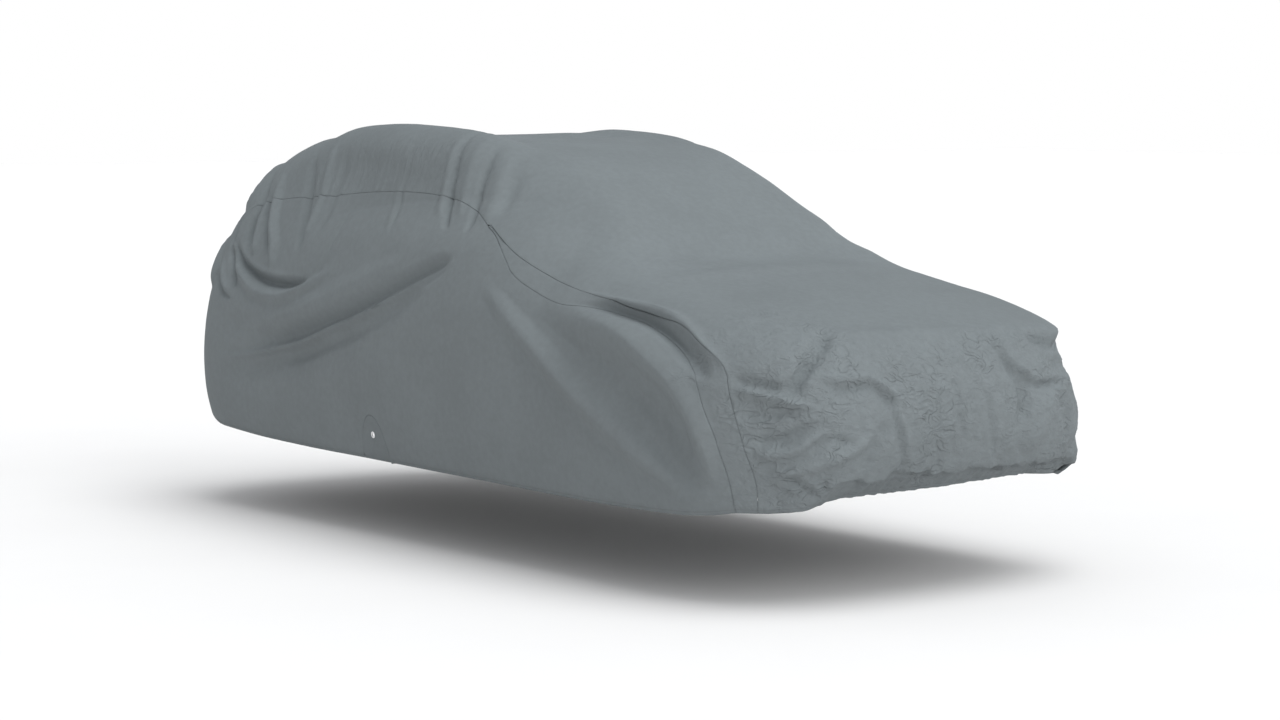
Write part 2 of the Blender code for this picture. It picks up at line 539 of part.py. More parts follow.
def grid_shell(name, outer, inner, material, closed_ring=False):
    """A closed sheet from the grids of its two faces, with a rim around their edges. Each cell is cut
    along the shorter diagonal of its outer face, and the inner face is cut in the same way."""
    rows, columns = outer.shape[:2]
    count = rows * columns
    index = np.arange(count).reshape(rows, columns)
    across = np.concatenate([index, index[:, :1]], axis=1) if closed_ring else index
    a, b, c, d = (k.ravel() for k in (across[:-1, :-1], across[:-1, 1:], across[1:, 1:], across[1:, :-1]))
    points = outer.reshape(-1, 3)
    cut_ac = np.linalg.norm(points[a] - points[c], axis=1) < np.linalg.norm(points[b] - points[d], axis=1)
    first = np.where(cut_ac[:, None], np.stack([a, b, c], axis=1), np.stack([a, b, d], axis=1))
    second = np.where(cut_ac[:, None], np.stack([a, c, d], axis=1), np.stack([b, c, d], axis=1))
    face = np.vstack([first, second])
    faces = face.tolist() + (face[:, ::-1] + count).tolist()
    if closed_ring:
        loops = [across[0], across[-1][::-1]]
    else:
        loops = [np.concatenate([index[0], index[1:, -1], index[-1, -2::-1], index[-2::-1, 0]])]
    for loop in loops:
        start, end = loop[:-1], loop[1:]
        faces += np.stack([end, start, start + count], axis=-1).tolist()
        faces += np.stack([end, start + count, end + count], axis=-1).tolist()
    mesh = bpy.data.meshes.new(name)
    mesh.from_pydata((np.vstack([points, inner.reshape(-1, 3)]) - ORIGIN).tolist(), [], faces)
    return add_object(name, mesh, material)


def add_object(name, mesh, material):
    """Turn the mesh's faces outwards, shade it smooth and put it in the scene."""
    work = bmesh.new()
    work.from_mesh(mesh)
    bmesh.ops.recalc_face_normals(work, faces=work.faces)
    work.to_mesh(mesh)
    work.free()
    mesh.shade_smooth()
    mesh.set_sharp_from_angle(angle=math.radians(50))
    mesh.materials.append(material)
    thing = bpy.data.objects.new(name, mesh)
    bpy.context.scene.collection.objects.link(thing)
    return thing


def make_panel(name, grid, material):
    outer, inner = cloth_faces(inset_edges(grid))
    return grid_shell(name, outer, inner, material)


def eyelet_frame(side):
    """Centre of the eyelet on the cloth's outer face, and the unit vectors along, up and out of it."""
    centre = on_side(np.array([EYELET_X]), np.array([EYELET_HEIGHT]), side)
    out = outward(centre)[0]
    outer = cloth_faces(centre)[0][0]
    along = unit(np.cross([0.0, 0.0, 1.0], out))
    return outer, along, np.cross(out, along), out


def make_patch(name, side, material):
    """The arched patch: rings of points from the eyelet's hole out to the arch and the hem. The two
    rings nearest the hole lie in one plane, under the ring's flanges."""
    arch = patch_arch()
    foot_x = np.linspace(arch[-1, 0], arch[0, 0], PATCH_FOOT_COLUMNS + 1)[1:-1]
    foot = np.stack([foot_x, hem_height(foot_x)], axis=1)
    border = np.vstack([arch, foot])
    centre = np.array([EYELET_X, EYELET_HEIGHT])
    spoke = border - centre
    border = border - SEAM_GAP * unit(spoke)
    angle = math.atan2(spoke[0, 1], spoke[0, 0]) - 2 * math.pi * np.arange(len(border)) / len(border)
    ray = np.stack([np.cos(angle), np.sin(angle)], axis=1)
    inner_radius = (HOLE_RADIUS, EYELET_FLANGE + 0.003)
    rings = [centre + r * ray for r in inner_radius]
    rings += [rings[1] + (border - rings[1]) * k / PATCH_RINGS for k in range(1, PATCH_RINGS + 1)]
    plane = np.stack(rings)
    outer, inner = cloth_faces(on_side(plane[..., 0], plane[..., 1], side))
    middle, along, up, out = eyelet_frame(side)
    for ring, r in enumerate(inner_radius):
        flat = r * (-side * ray[:, :1] * along + ray[:, 1:] * up)
        outer[ring] = middle + flat
        inner[ring] = outer[ring] - CLOTH * out
    return grid_shell(name, outer, inner, material, closed_ring=True)


def make_eyelet(name, side, material):
    """A pressed ring: a C-shaped profile, open outwards over the cloth's edge, spun about its axis."""
    barrel = HOLE_RADIUS - EYELET_GAP
    face = EYELET_GAP
    back = -CLOTH - EYELET_GAP
    profile = (
        (EYELET_BORE, back - 0.4 * EYELET_RIM),
        (EYELET_BORE, face + 0.4 * EYELET_RIM),
        (EYELET_BORE + 0.0012, face + EYELET_RIM),
        (EYELET_FLANGE - 0.0010, face + EYELET_RIM),
        (EYELET_FLANGE, face + 0.4 * EYELET_RIM),
        (EYELET_FLANGE, face),
        (barrel, face),
        (barrel, back),
        (EYELET_FLANGE, back),
        (EYELET_FLANGE, back - 0.4 * EYELET_RIM),
        (EYELET_FLANGE - 0.0010, back - EYELET_RIM),
        (EYELET_BORE + 0.0012, back - EYELET_RIM),
    )
    middle, along, up, out = eyelet_frame(side)
    turns = np.linspace(0.0, 2 * math.pi, 25)[:-1]
    rings = np.stack([
        middle + r * (np.cos(turns)[:, None] * along + np.sin(turns)[:, None] * up) + h * out
        for r, h in profile
    ])
    rows, columns = rings.shape[:2]
    index = np.arange(rows * columns).reshape(rows, columns)
    a, b = index, np.roll(index, -1, axis=0)
    faces = np.stack([a, np.roll(a, -1, axis=1), np.roll(b, -1, axis=1), b], axis=-1).reshape(-1, 4)
    mesh = bpy.data.meshes.new(name)
    mesh.from_pydata((rings.reshape(-1, 3) - ORIGIN).tolist(), [], faces.tolist())
    return add_object(name, mesh, material)


def plain_material(name, colour, roughness, metallic):
    material = bpy.data.materials.new(name)
    material.use_nodes = True
    shader = material.node_tree.nodes["Principled BSDF"]
    shader.inputs["Base Color"].default_value = (*colour, 1.0)
    shader.inputs["Roughness"].default_value = roughness
    shader.inputs["Metallic"].default_value = metallic
    return material


def build():
    for thing in list(bpy.data.objects):
        bpy.data.objects.remove(thing)
    cloth = plain_material("grey_cloth", (0.165, 0.185, 0.190), 0.85, 0.0)
    metal = plain_material("eyelet_metal", (0.62, 0.63, 0.64), 0.30, 1.0)
    make_panel("top_panel", top_grid(), cloth)
    for side, word in ((-1, "right"), (1, "left")):
        make_panel(f"side_panel_{word}", side_grid(side), cloth)
        make_panel(f"front_gusset_{word}", gusset_grid(side), cloth)
        make_patch(f"eyelet_patch_{word}", side, cloth)
        make_eyelet(f"eyelet_{word}", side, metal)


build()
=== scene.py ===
"""Looks of a fitted outdoor cover: grey nonwoven cloth, sewn from panels, draped and rumpled.

Each panel is one fine grid of points on a smooth form, the same form that its solid is cut from.
The cloth stands out from the form by its swells, its folds, the wrinkles of each place and the
relief of seams and hems. Lengths are metres. The drawing counts x forward from the middle of the
cover, y to its left and height from the ground; ORIGIN brings it into the frame.
"""

import math

import bpy
import numpy as np
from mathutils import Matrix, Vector


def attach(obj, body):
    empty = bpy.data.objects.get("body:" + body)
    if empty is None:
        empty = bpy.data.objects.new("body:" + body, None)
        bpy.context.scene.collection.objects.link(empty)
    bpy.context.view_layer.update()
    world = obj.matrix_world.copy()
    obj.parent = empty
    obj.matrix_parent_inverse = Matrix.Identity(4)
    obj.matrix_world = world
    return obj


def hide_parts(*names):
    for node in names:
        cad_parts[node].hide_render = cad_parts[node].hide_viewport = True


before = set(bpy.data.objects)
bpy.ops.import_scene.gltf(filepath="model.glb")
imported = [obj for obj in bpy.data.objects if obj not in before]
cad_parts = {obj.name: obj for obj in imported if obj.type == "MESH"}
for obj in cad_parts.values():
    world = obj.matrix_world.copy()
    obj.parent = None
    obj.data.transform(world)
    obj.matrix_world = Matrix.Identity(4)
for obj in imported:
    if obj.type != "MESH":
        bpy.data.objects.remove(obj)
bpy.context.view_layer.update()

# ---- driving dimensions

CLOTH = 0.0020            # thickness of the cloth
SEAM_GAP = 0.00035        # each panel stops this far short of its seam
ORIGIN = np.array([-0.60, 0.0, 1.6945])

# Side outline along the middle, from the front hem over the roof to the rear hem.
# x, height, radius that rounds it into the sides
OUTLINE = (
    (2.105, 0.30, 0.40),
    (2.140, 0.43, 0.40),
    (2.205, 0.60, 0.40),
    (2.210, 0.78, 0.40),
    (2.165, 0.93, 0.38),
    (2.060, 1.022, 0.30),
    (1.700, 1.112, 0.22),
    (1.300, 1.178, 0.20),
    (1.020, 1.243, 0.22),
    (0.700, 1.420, 0.28),
    (0.350, 1.588, 0.26),
    (0.020, 1.661, 0.20),
    (-0.600, 1.701, 0.12),
    (-0.950, 1.697, 0.12),
    (-1.200, 1.694, 0.12),
    (-1.500, 1.674, 0.15),
    (-1.800, 1.585, 0.22),
    (-2.040, 1.370, 0.32),
    (-2.160, 1.130, 0.42),
    (-2.250, 0.820, 0.46),
    (-2.250, 0.550, 0.46),
    (-2.205, 0.380, 0.46),
    (-2.175, 0.250, 0.46),
)

# Half width of the section at each height.
SECTION = (
    (0.30, 0.905),
    (0.40, 0.930),
    (0.60, 0.950),
    (0.85, 0.950),
    (1.00, 0.930),
    (1.15, 0.890),
    (1.30, 0.835),
    (1.45, 0.765),
    (1.60, 0.700),
    (1.75, 0.640),
)

# How the form changes along its length: x, fall of the top towards its edges for each metre
# squared, bow of the end faces, how much narrower the upper part is, and the lower part.
ALONG = (
    (-2.30, 0.10, -0.10, 0.06, 0.00),
    (-1.60, 0.03, -0.05, 0.02, 0.00),
    (-1.10, -0.02, 0.00, 0.00, 0.00),
    (-0.60, -0.01, 0.00, 0.00, 0.00),
    (0.00, -0.01, 0.00, 0.02, 0.00),
    (0.30, 0.04, 0.00, 0.05, 0.00),
    (0.90, 0.07, 0.00, 0.09, 0.00),
    (1.30, 0.08, 0.02, 0.07, 0.00),
    (2.00, 0.06, 0.14, 0.05, 0.02),
    (2.30, 0.06, 0.17, 0.05, 0.03),
)
UPPER_FROM = 0.95         # height where the narrowing of the upper part starts
UPPER_OVER = 0.50         # and the height over which it comes in

# ---- seams, in side view (x, height)

REAR_CORNER = ((-2.00, 0.385), (-2.03, 0.60), (-2.03, 0.85), (-1.98, 1.08), (-1.86, 1.28))
ROOF_SEAM = ((-1.86, 1.28), (-1.66, 1.375), (-1.40, 1.415), (-1.01, 1.440), (-0.62, 1.468),
             (-0.31, 1.470), (-0.06, 1.450), (0.13, 1.400), (0.275, 1.330))
GUSSET_LOWER = ((0.275, 1.330), (0.37, 1.285), (0.49, 1.202), (0.57, 1.152), (0.71, 1.109),
                (0.90, 1.073), (1.11, 1.080), (1.31, 1.064), (1.44, 1.034), (1.57, 0.988),
                (1.67, 0.935), (1.757, 0.872))
CORNER_REAR = ((1.757, 0.872), (1.797, 0.818), (1.832, 0.755), (1.857, 0.695), (1.876, 0.630),
               (1.896, 0.500), (1.889, 0.355))
GUSSET_UPPER = ((0.282, 1.336), (0.53, 1.224), (0.79, 1.157), (1.02, 1.112), (1.18, 1.092),
                (1.34, 1.074), (1.47, 1.053), (1.56, 1.034), (1.64, 1.008), (1.73, 0.968),
                (1.83, 0.925), (1.872, 0.900), (1.900, 0.866))
CORNER_FRONT = ((1.900, 0.866), (1.918, 0.812), (1.937, 0.735), (1.958, 0.643), (1.975, 0.500),
                (1.951, 0.357))

SIDE_HEM = ((-2.00, 0.385), (-1.72, 0.368), (-1.16, 0.342), (-0.50, 0.335), (0.30, 0.328),
            (0.95, 0.322), (1.45, 0.326), (1.74, 0.337), (1.889, 0.355))
FRONT_HEM_RISE = 0.040    # the front hem hangs this much higher in its middle
REAR_HEM_RISE = 0.030
HEM_RISE_SHARE = 0.60     # share of a corner's height over which the rise dies away
LEFT_CORNER_RISE = 0.030  # the cloth sits higher round the left front corner
LEFT_CORNER_FROM = 1.20   # x from which that hitch comes in
LEFT_CORNER_OVER = 0.70
LEFT_CORNER_TOP = 0.80    # and the height where it has gone

# ---- swells and folds

# Broad swells, in side view: side (-1 right, +1 left), x, height, reach behind, ahead, above and
# below, depth, bluntness (0 is a pointed tent, 1 a round hump)
SWELLS = (
    (-1, 0.28, 1.215, 1.50, 0.50, 0.24, 0.90, 0.070, 0.03),
    (-1, -1.40, 0.560, 0.46, 0.46, 0.26, 0.26, 0.014, 0.60),
    (1, 0.26, 1.210, 1.40, 0.50, 0.24, 0.86, 0.064, 0.03),
    (1, -1.42, 0.560, 0.44, 0.44, 0.26, 0.26, 0.012, 0.60),
    (1, 1.97, 0.860, 0.22, 0.16, 0.11, 0.24, -0.050, 0.60),
)

# Folds in each view: half width, depth (a trough is negative), crispness (0 soft, 1 a sharp
# crease), then the points of the fold's line: x, height in the views right and left; y, height in
# front and rear; x, y on top.
FOLDS = {
    "right": (
        # the long sweep from the tail up to the peak, with the troughs above and below it
        (0.038, 0.038, 0.9,
         ((-1.72, 0.69), (-1.45, 0.722), (-1.23, 0.757), (-0.99, 0.808), (-0.75, 0.880), (-0.50, 0.947),
          (-0.24, 1.030), (-0.05, 1.094), (0.10, 1.148), (0.20, 1.192))),
        (0.075, -0.044, 0.1,
         ((-1.30, 0.772), (-0.99, 0.838), (-0.75, 0.906), (-0.50, 0.970), (-0.24, 1.052), (-0.05, 1.114),
          (0.10, 1.164), (0.17, 1.192))),
        (0.056, -0.024, 0.1,
         ((-1.20, 0.706), (-0.99, 0.752), (-0.75, 0.824), (-0.50, 0.891), (-0.24, 0.974), (-0.05, 1.038),
          (0.06, 1.078))),
        (0.075, 0.018, 0.3,
         ((-1.70, 0.740), (-1.51, 0.790), (-1.24, 0.870), (-0.93, 0.960), (-0.64, 1.045), (-0.36, 1.130),
          (-0.12, 1.210))),
        (0.110, -0.018, 0.0,
         ((-1.75, 0.60), (-1.46, 0.66), (-1.03, 0.73), (-0.51, 0.84), (-0.29, 0.89), (-0.04, 1.02))),
        # rear quarter: hanging arcs, one inside the other
        (0.040, -0.038, 0.7,
         ((-1.75, 1.240), (-1.62, 1.138), (-1.49, 1.086), (-1.32, 1.052), (-1.12, 1.050), (-0.90, 1.076))),
        (0.024, 0.008, 0.8,
         ((-1.68, 1.22), (-1.58, 1.158), (-1.46, 1.115), (-1.29, 1.088), (-1.06, 1.090))),
        (0.030, -0.026, 0.7,
         ((-1.760, 1.200), (-1.710, 1.160), (-1.662, 1.108), (-1.625, 1.050), (-1.575, 1.000))),
        (0.030, 0.014, 0.4, ((-1.800, 1.140), (-1.755, 1.080), (-1.710, 1.030), (-1.645, 0.990))),
        (0.050, 0.034, 0.5,
         ((-1.76, 1.22), (-1.61, 1.108), (-1.47, 1.032), (-1.34, 1.000), (-1.15, 0.998), (-1.02, 1.026),
          (-0.88, 1.076), (-0.76, 1.14))),
        (0.110, 0.020, 0.0,
         ((-1.78, 1.02), (-1.58, 0.960), (-1.38, 0.925), (-1.16, 0.930), (-0.96, 0.975), (-0.80, 1.04))),
        (0.080, 0.026, 0.0, ((-2.00, 1.24), (-1.93, 1.15), (-1.88, 1.08), (-1.82, 1.01))),
        (0.030, -0.020, 0.7,
         ((-1.83, 1.085), (-1.78, 1.040), (-1.73, 1.000), (-1.66, 0.972), (-1.58, 0.960))),
        (0.044, -0.040, 0.5, ((-1.70, 1.54), (-1.62, 1.43), (-1.60, 1.34), (-1.61, 1.26), (-1.58, 1.17))),
        (0.028, -0.020, 0.8, ((-1.57, 1.45), (-1.53, 1.37), (-1.47, 1.27), (-1.39, 1.15))),
        (0.034, 0.020, 0.4, ((-1.65, 1.50), (-1.57, 1.36), (-1.53, 1.22), (-1.50, 1.16))),
        (0.034, -0.018, 0.5, ((-1.84, 1.38), (-1.78, 1.28), (-1.75, 1.18))),
        (0.050, 0.026, 0.4, ((-1.54, 1.56), (-1.49, 1.42), (-1.43, 1.30), (-1.35, 1.20), (-1.33, 1.09))),
        (0.050, -0.024, 0.4, ((-1.30, 1.64), (-1.245, 1.51), (-1.19, 1.39), (-1.145, 1.27), (-1.13, 1.18))),
        (0.036, 0.020, 0.5, ((-1.15, 1.68), (-1.12, 1.58), (-1.09, 1.45), (-1.09, 1.33), (-1.11, 1.24))),
        (0.050, -0.010, 0.2, ((-1.00, 1.66), (-0.99, 1.52), (-0.99, 1.36), (-1.02, 1.22))),
        # band under the roof: creases that hang over the edge
        (0.016, -0.0075, 0.9,
         ((-0.52, 1.70), (-0.475, 1.60), (-0.469, 1.474), (-0.42, 1.375), (-0.37, 1.26))),
        (0.024, 0.0050, 0.4, ((-0.55, 1.70), (-0.51, 1.59), (-0.50, 1.46), (-0.45, 1.36), (-0.40, 1.27))),
        (0.013, -0.0045, 0.9, ((-0.330, 1.70), (-0.272, 1.56), (-0.25, 1.44))),
        (0.013, -0.0055, 0.9, ((-0.270, 1.70), (-0.205, 1.56), (-0.183, 1.45), (-0.17, 1.37))),
        (0.045, 0.012, 0.2, ((-0.235, 1.69), (-0.175, 1.55), (-0.14, 1.44), (-0.08, 1.36))),
        (0.032, -0.026, 0.8,
         ((-0.225, 1.72), (-0.155, 1.59), (-0.110, 1.470), (-0.04, 1.37), (0.04, 1.30))),
        (0.045, 0.012, 0.3, ((-0.12, 1.70), (-0.05, 1.56), (0.00, 1.45), (0.06, 1.36))),
        (0.032, -0.026, 0.8, ((-0.03, 1.68), (0.030, 1.58), (0.075, 1.48), (0.135, 1.370), (0.17, 1.29))),
        (0.055, 0.012, 0.2, ((0.06, 1.66), (0.14, 1.53), (0.20, 1.42), (0.23, 1.35))),
        (0.055, -0.009, 0.2, ((0.19, 1.58), (0.245, 1.46), (0.30, 1.37))),
        (0.016, -0.0055, 0.9, ((-0.79, 1.40), (-0.806, 1.31), (-0.83, 1.22), (-0.875, 1.08))),
        # front of the side: crest, the trough below it and the broad run down to the hem
        (0.075, 0.034, 0.1,
         ((0.40, 1.12), (0.62, 1.00), (0.86, 0.862), (1.05, 0.752), (1.27, 0.640), (1.43, 0.562),
          (1.57, 0.500), (1.68, 0.44))),
        (0.150, -0.048, 0.2,
         ((0.72, 1.05), (0.98, 0.930), (1.24, 0.850), (1.46, 0.755), (1.63, 0.65), (1.72, 0.52),
          (1.76, 0.40))),
        (0.085, 0.030, 0.3,
         ((0.92, 1.050), (1.25, 0.998), (1.47, 0.925), (1.66, 0.83), (1.775, 0.72), (1.82, 0.60),
          (1.845, 0.44))),
        (0.045, -0.005, 0.4, ((1.08, 0.86), (1.20, 0.79), (1.40, 0.68), (1.56, 0.58), (1.64, 0.48))),
        (0.050, 0.006, 0.3, ((1.22, 0.86), (1.38, 0.80), (1.53, 0.73), (1.62, 0.60))),
        # front corner: the pocket that the gusset lies in and its sharp upper edge
        (0.034, -0.016, 0.2,
         ((0.92, 1.082), (1.08, 1.081), (1.24, 1.073), (1.38, 1.052), (1.50, 1.018), (1.62, 0.966),
          (1.74, 0.894))),
        (0.056, -0.034, 0.1,
         ((0.98, 1.080), (1.20, 1.070), (1.38, 1.050), (1.50, 1.020), (1.61, 0.980), (1.71, 0.930),
          (1.79, 0.885), (1.84, 0.850))),
        (0.034, 0.018, 0.6,
         ((0.90, 1.130), (1.12, 1.104), (1.34, 1.084), (1.50, 1.060), (1.62, 1.022), (1.72, 0.978),
          (1.84, 0.922), (1.90, 0.886))),
    ),
    "front": (
        # right corner: the creases that start below the gusset
        (0.034, -0.022, 0.6, ((-0.860, 0.862), (-0.830, 0.848), (-0.775, 0.832), (-0.70, 0.812))),
        (0.034, 0.028, 0.7,
         ((-0.868, 0.815), (-0.830, 0.810), (-0.78, 0.796), (-0.71, 0.768), (-0.64, 0.757))),
        (0.032, -0.014, 0.5, ((-0.855, 0.738), (-0.81, 0.733), (-0.76, 0.736), (-0.69, 0.744))),
        (0.055, -0.034, 0.4,
         ((-0.46, 1.030), (-0.55, 0.990), (-0.625, 0.930), (-0.69, 0.850), (-0.73, 0.790))),
        (0.030, 0.020, 0.7, ((-0.50, 0.985), (-0.575, 0.930), (-0.643, 0.868), (-0.70, 0.795))),
        (0.030, 0.018, 0.7,
         ((-0.66, 0.865), (-0.60, 0.868), (-0.53, 0.852), (-0.43, 0.861), (-0.374, 0.826), (-0.308, 0.784),
          (-0.23, 0.705))),
        (0.032, -0.013, 0.5,
         ((-0.62, 0.838), (-0.53, 0.820), (-0.43, 0.825), (-0.36, 0.785), (-0.29, 0.730))),
        (0.038, -0.020, 0.5,
         ((-0.820, 0.648), (-0.79, 0.638), (-0.74, 0.640), (-0.69, 0.672), (-0.64, 0.70))),
        (0.038, 0.022, 0.5,
         ((-0.815, 0.592), (-0.78, 0.585), (-0.73, 0.592), (-0.67, 0.630), (-0.60, 0.680))),
        (0.032, -0.013, 0.4, ((-0.67, 0.600), (-0.60, 0.638), (-0.53, 0.628), (-0.48, 0.60))),
        (0.050, 0.024, 0.3,
         ((-0.78, 0.520), (-0.70, 0.528), (-0.60, 0.556), (-0.50, 0.595), (-0.40, 0.65))),
        (0.045, -0.015, 0.3, ((-0.34, 0.710), (-0.385, 0.640), (-0.42, 0.565), (-0.43, 0.50))),
        # front face: hanging creases
        (0.026, -0.014, 0.7,
         ((-0.375, 0.800), (-0.34, 0.745), (-0.305, 0.665), (-0.255, 0.520), (-0.24, 0.46))),
        (0.026, 0.010, 0.5, ((-0.340, 0.780), (-0.305, 0.720), (-0.270, 0.645), (-0.22, 0.50))),
        (0.024, -0.010, 0.6, ((-0.050, 0.870), (-0.03, 0.780), (-0.010, 0.680), (0.030, 0.580))),
        (0.020, -0.008, 0.7, ((-0.135, 0.640), (-0.10, 0.560), (-0.065, 0.460))),
        (0.026, -0.010, 0.6, ((0.125, 0.790), (0.140, 0.720), (0.170, 0.610), (0.195, 0.500))),
        (0.055, -0.026, 0.4,
         ((0.21, 0.960), (0.25, 0.900), (0.30, 0.827), (0.335, 0.750), (0.330, 0.690), (0.305, 0.590))),
        (0.030, 0.022, 0.7, ((0.22, 0.985), (0.245, 0.945), (0.29, 0.885), (0.345, 0.843), (0.40, 0.815))),
        (0.030, 0.012, 0.5, ((0.20, 0.965), (0.36, 0.950), (0.55, 0.908), (0.66, 0.895))),
        (0.034, -0.022, 0.6, ((0.32, 0.825), (0.40, 0.788), (0.50, 0.782), (0.60, 0.790))),
        (0.100, 0.022, 0.1, ((0.36, 0.520), (0.41, 0.600), (0.46, 0.690), (0.53, 0.770))),
        (0.064, -0.048, 0.1, ((0.40, 0.968), (0.56, 0.944), (0.70, 0.928), (0.85, 0.915))),
        (0.050, -0.016, 0.2, ((0.48, 0.856), (0.60, 0.850), (0.72, 0.842), (0.84, 0.836))),
        (0.060, -0.014, 0.3, ((0.55, 0.740), (0.62, 0.640), (0.64, 0.540))),
        # the hem's drawn edge tucks in under the face
        (0.125, -0.062, 0.0,
         ((-0.66, 0.345), (-0.48, 0.350), (-0.20, 0.358), (0.10, 0.366), (0.40, 0.376), (0.62, 0.388),
          (0.76, 0.395))),
        # lower right corner: pulls that run down into the hem
        (0.024, 0.012, 0.6, ((-0.78, 0.510), (-0.71, 0.470), (-0.62, 0.410))),
        (0.024, 0.012, 0.6, ((-0.68, 0.510), (-0.62, 0.470), (-0.54, 0.410))),
        (0.022, -0.010, 0.6, ((-0.72, 0.510), (-0.66, 0.465), (-0.58, 0.410))),
    ),
    "left": (
        # left front corner: the notch under its top, and the belly below it
        (0.078, -0.052, 0.1, ((1.84, 0.922), (1.92, 0.921), (2.00, 0.918), (2.08, 0.912))),
        (0.100, 0.030, 0.0, ((1.70, 0.450), (1.85, 0.460), (1.97, 0.470), (2.06, 0.480))),
        # left side, finished like the right one with its own lengths
        (0.095, 0.034, 0.5, ((-1.70, 0.62), (-1.30, 0.70), (-0.80, 0.81), (-0.30, 0.98), (0.10, 1.16))),
        (0.075, -0.034, 0.4, ((-1.20, 0.83), (-0.90, 0.91), (-0.50, 1.01), (-0.18, 1.13), (0.06, 1.25))),
        (0.080, 0.016, 0.2, ((-1.50, 0.80), (-1.10, 0.90), (-0.64, 1.04), (-0.22, 1.20))),
        (0.050, -0.034, 0.5, ((-1.84, 1.20), (-1.60, 1.09), (-1.30, 1.07), (-0.98, 1.14))),
        (0.055, 0.034, 0.4, ((-1.84, 1.09), (-1.55, 0.99), (-1.20, 0.98), (-0.90, 1.07))),
        (0.055, -0.020, 0.3, ((-1.70, 1.00), (-1.45, 0.93), (-1.15, 0.93), (-0.86, 1.00))),
        (0.045, -0.032, 0.5, ((-1.66, 1.50), (-1.60, 1.36), (-1.55, 1.18))),
        (0.040, 0.018, 0.3, ((-1.50, 1.53), (-1.45, 1.38), (-1.38, 1.18))),
        (0.050, 0.020, 0.3, ((-0.95, 1.66), (-1.00, 1.46), (-1.05, 1.24))),
        (0.018, -0.007, 0.8, ((-0.60, 1.68), (-0.56, 1.50), (-0.50, 1.32))),
        (0.036, -0.026, 0.7, ((-0.12, 1.69), (-0.05, 1.52), (0.04, 1.32))),
        (0.034, -0.020, 0.7, ((0.03, 1.66), (0.09, 1.50), (0.16, 1.33))),
        (0.200, 0.020, 0.0, ((0.34, 1.12), (0.66, 0.92), (1.00, 0.74), (1.28, 0.56))),
        (0.150, -0.030, 0.2, ((0.84, 1.00), (1.20, 0.87), (1.50, 0.74), (1.72, 0.55))),
        (0.085, 0.022, 0.2, ((1.00, 1.03), (1.40, 0.93), (1.68, 0.81), (1.80, 0.64))),
        (0.060, -0.036, 0.1, ((1.05, 1.085), (1.38, 1.052), (1.64, 0.970), (1.84, 0.880))),
    ),
    "top": (
        # over the top: the roof's edges, slack between them and at the foot of the front slope
        (0.230, 0.050, 0.0, ((-1.34, -0.57), (-0.80, -0.57), (-0.35, -0.56), (0.14, -0.56))),
        (0.200, 0.016, 0.0, ((-0.90, 0.55), (-0.65, 0.55), (-0.35, 0.54), (-0.05, 0.54))),
        (0.200, -0.014, 0.0, ((0.58, 0.68), (0.76, 0.68), (0.94, 0.67))),
        (0.140, -0.014, 0.0, ((0.90, -0.62), (0.97, -0.30), (0.98, 0.10), (0.93, 0.50))),
        (0.110, 0.010, 0.0, ((1.16, -0.66), (1.20, -0.25), (1.18, 0.20), (1.14, 0.60))),
        (0.120, -0.012, 0.0, ((-0.20, -0.52), (-0.45, -0.20), (-0.55, 0.20), (-0.40, 0.50))),
        (0.030, -0.0040, 0.5, ((0.87, -0.60), (0.876, -0.40), (0.900, -0.10), (0.91, 0.25), (0.932, 0.55))),
        (0.030, -0.0040, 0.5, ((0.88, -0.74), (0.95, -0.66), (1.04, -0.56), (1.113, -0.34), (1.14, -0.10))),
        (0.030, 0.0045, 0.5, ((1.70, -0.80), (1.755, -0.68), (1.785, -0.52), (1.790, -0.34))),
        (0.030, 0.0045, 0.5, ((1.76, -0.82), (1.82, -0.72), (1.88, -0.63), (1.91, -0.50))),
        (0.028, 0.0090, 0.5,
         ((1.955, -0.60), (2.030, -0.45), (2.075, -0.19), (2.088, 0.16), (2.045, 0.53))),
    ),
    "rear": (
        # over the tail's right corner
        (0.090, 0.026, 0.2, ((-0.54, 1.57), (-0.62, 1.51), (-0.70, 1.43), (-0.77, 1.33))),
        # rear: slack below the tail's corners
        (0.080, -0.034, 0.4, ((-0.72, 1.02), (-0.40, 0.90), (0.00, 0.87), (0.38, 0.92), (0.70, 1.04))),
        (0.080, 0.032, 0.4, ((-0.74, 0.89), (-0.40, 0.78), (0.00, 0.75), (0.36, 0.79), (0.72, 0.91))),
        (0.050, -0.016, 0.5, ((-0.60, 0.80), (-0.30, 0.70), (0.06, 0.68), (0.40, 0.74))),
        (0.038, -0.018, 0.6, ((-0.46, 0.66), (-0.42, 0.54), (-0.44, 0.42))),
        (0.032, -0.014, 0.6, ((-0.12, 0.62), (-0.10, 0.52), (-0.13, 0.42))),
        (0.038, -0.016, 0.6, ((0.30, 0.64), (0.34, 0.52), (0.31, 0.42))),
        (0.045, -0.022, 0.6, ((0.56, 1.40), (0.60, 1.24), (0.62, 1.08))),
        (0.045, -0.020, 0.6, ((-0.52, 1.38), (-0.58, 1.22), (-0.60, 1.08))),
    ),
}

# ---- eyelets, patches, hems, seams

EYELET_X = -0.415
EYELET_HEIGHT = 0.450
PATCH_HALF_WIDTH = 0.105
PATCH_TOP = 0.535         # height of the top of the patch's arch
HOLE_RADIUS = 0.0090      # hole cut in the patch
EYELET_BORE = 0.0075      # clear hole through the ring
EYELET_FLANGE = 0.0145    # outer radius of the ring's two flanges
EYELET_RIM = 0.0011       # height of a flange above the cloth
EYELET_GAP = 0.0004       # play between the ring and the cloth
FLAT_RADIUS = EYELET_FLANGE + 0.002     # the patch lies flat out to here
FLAT_RINGS = 4
FLAT_FADE = 0.012         # width over which it leaves the flat

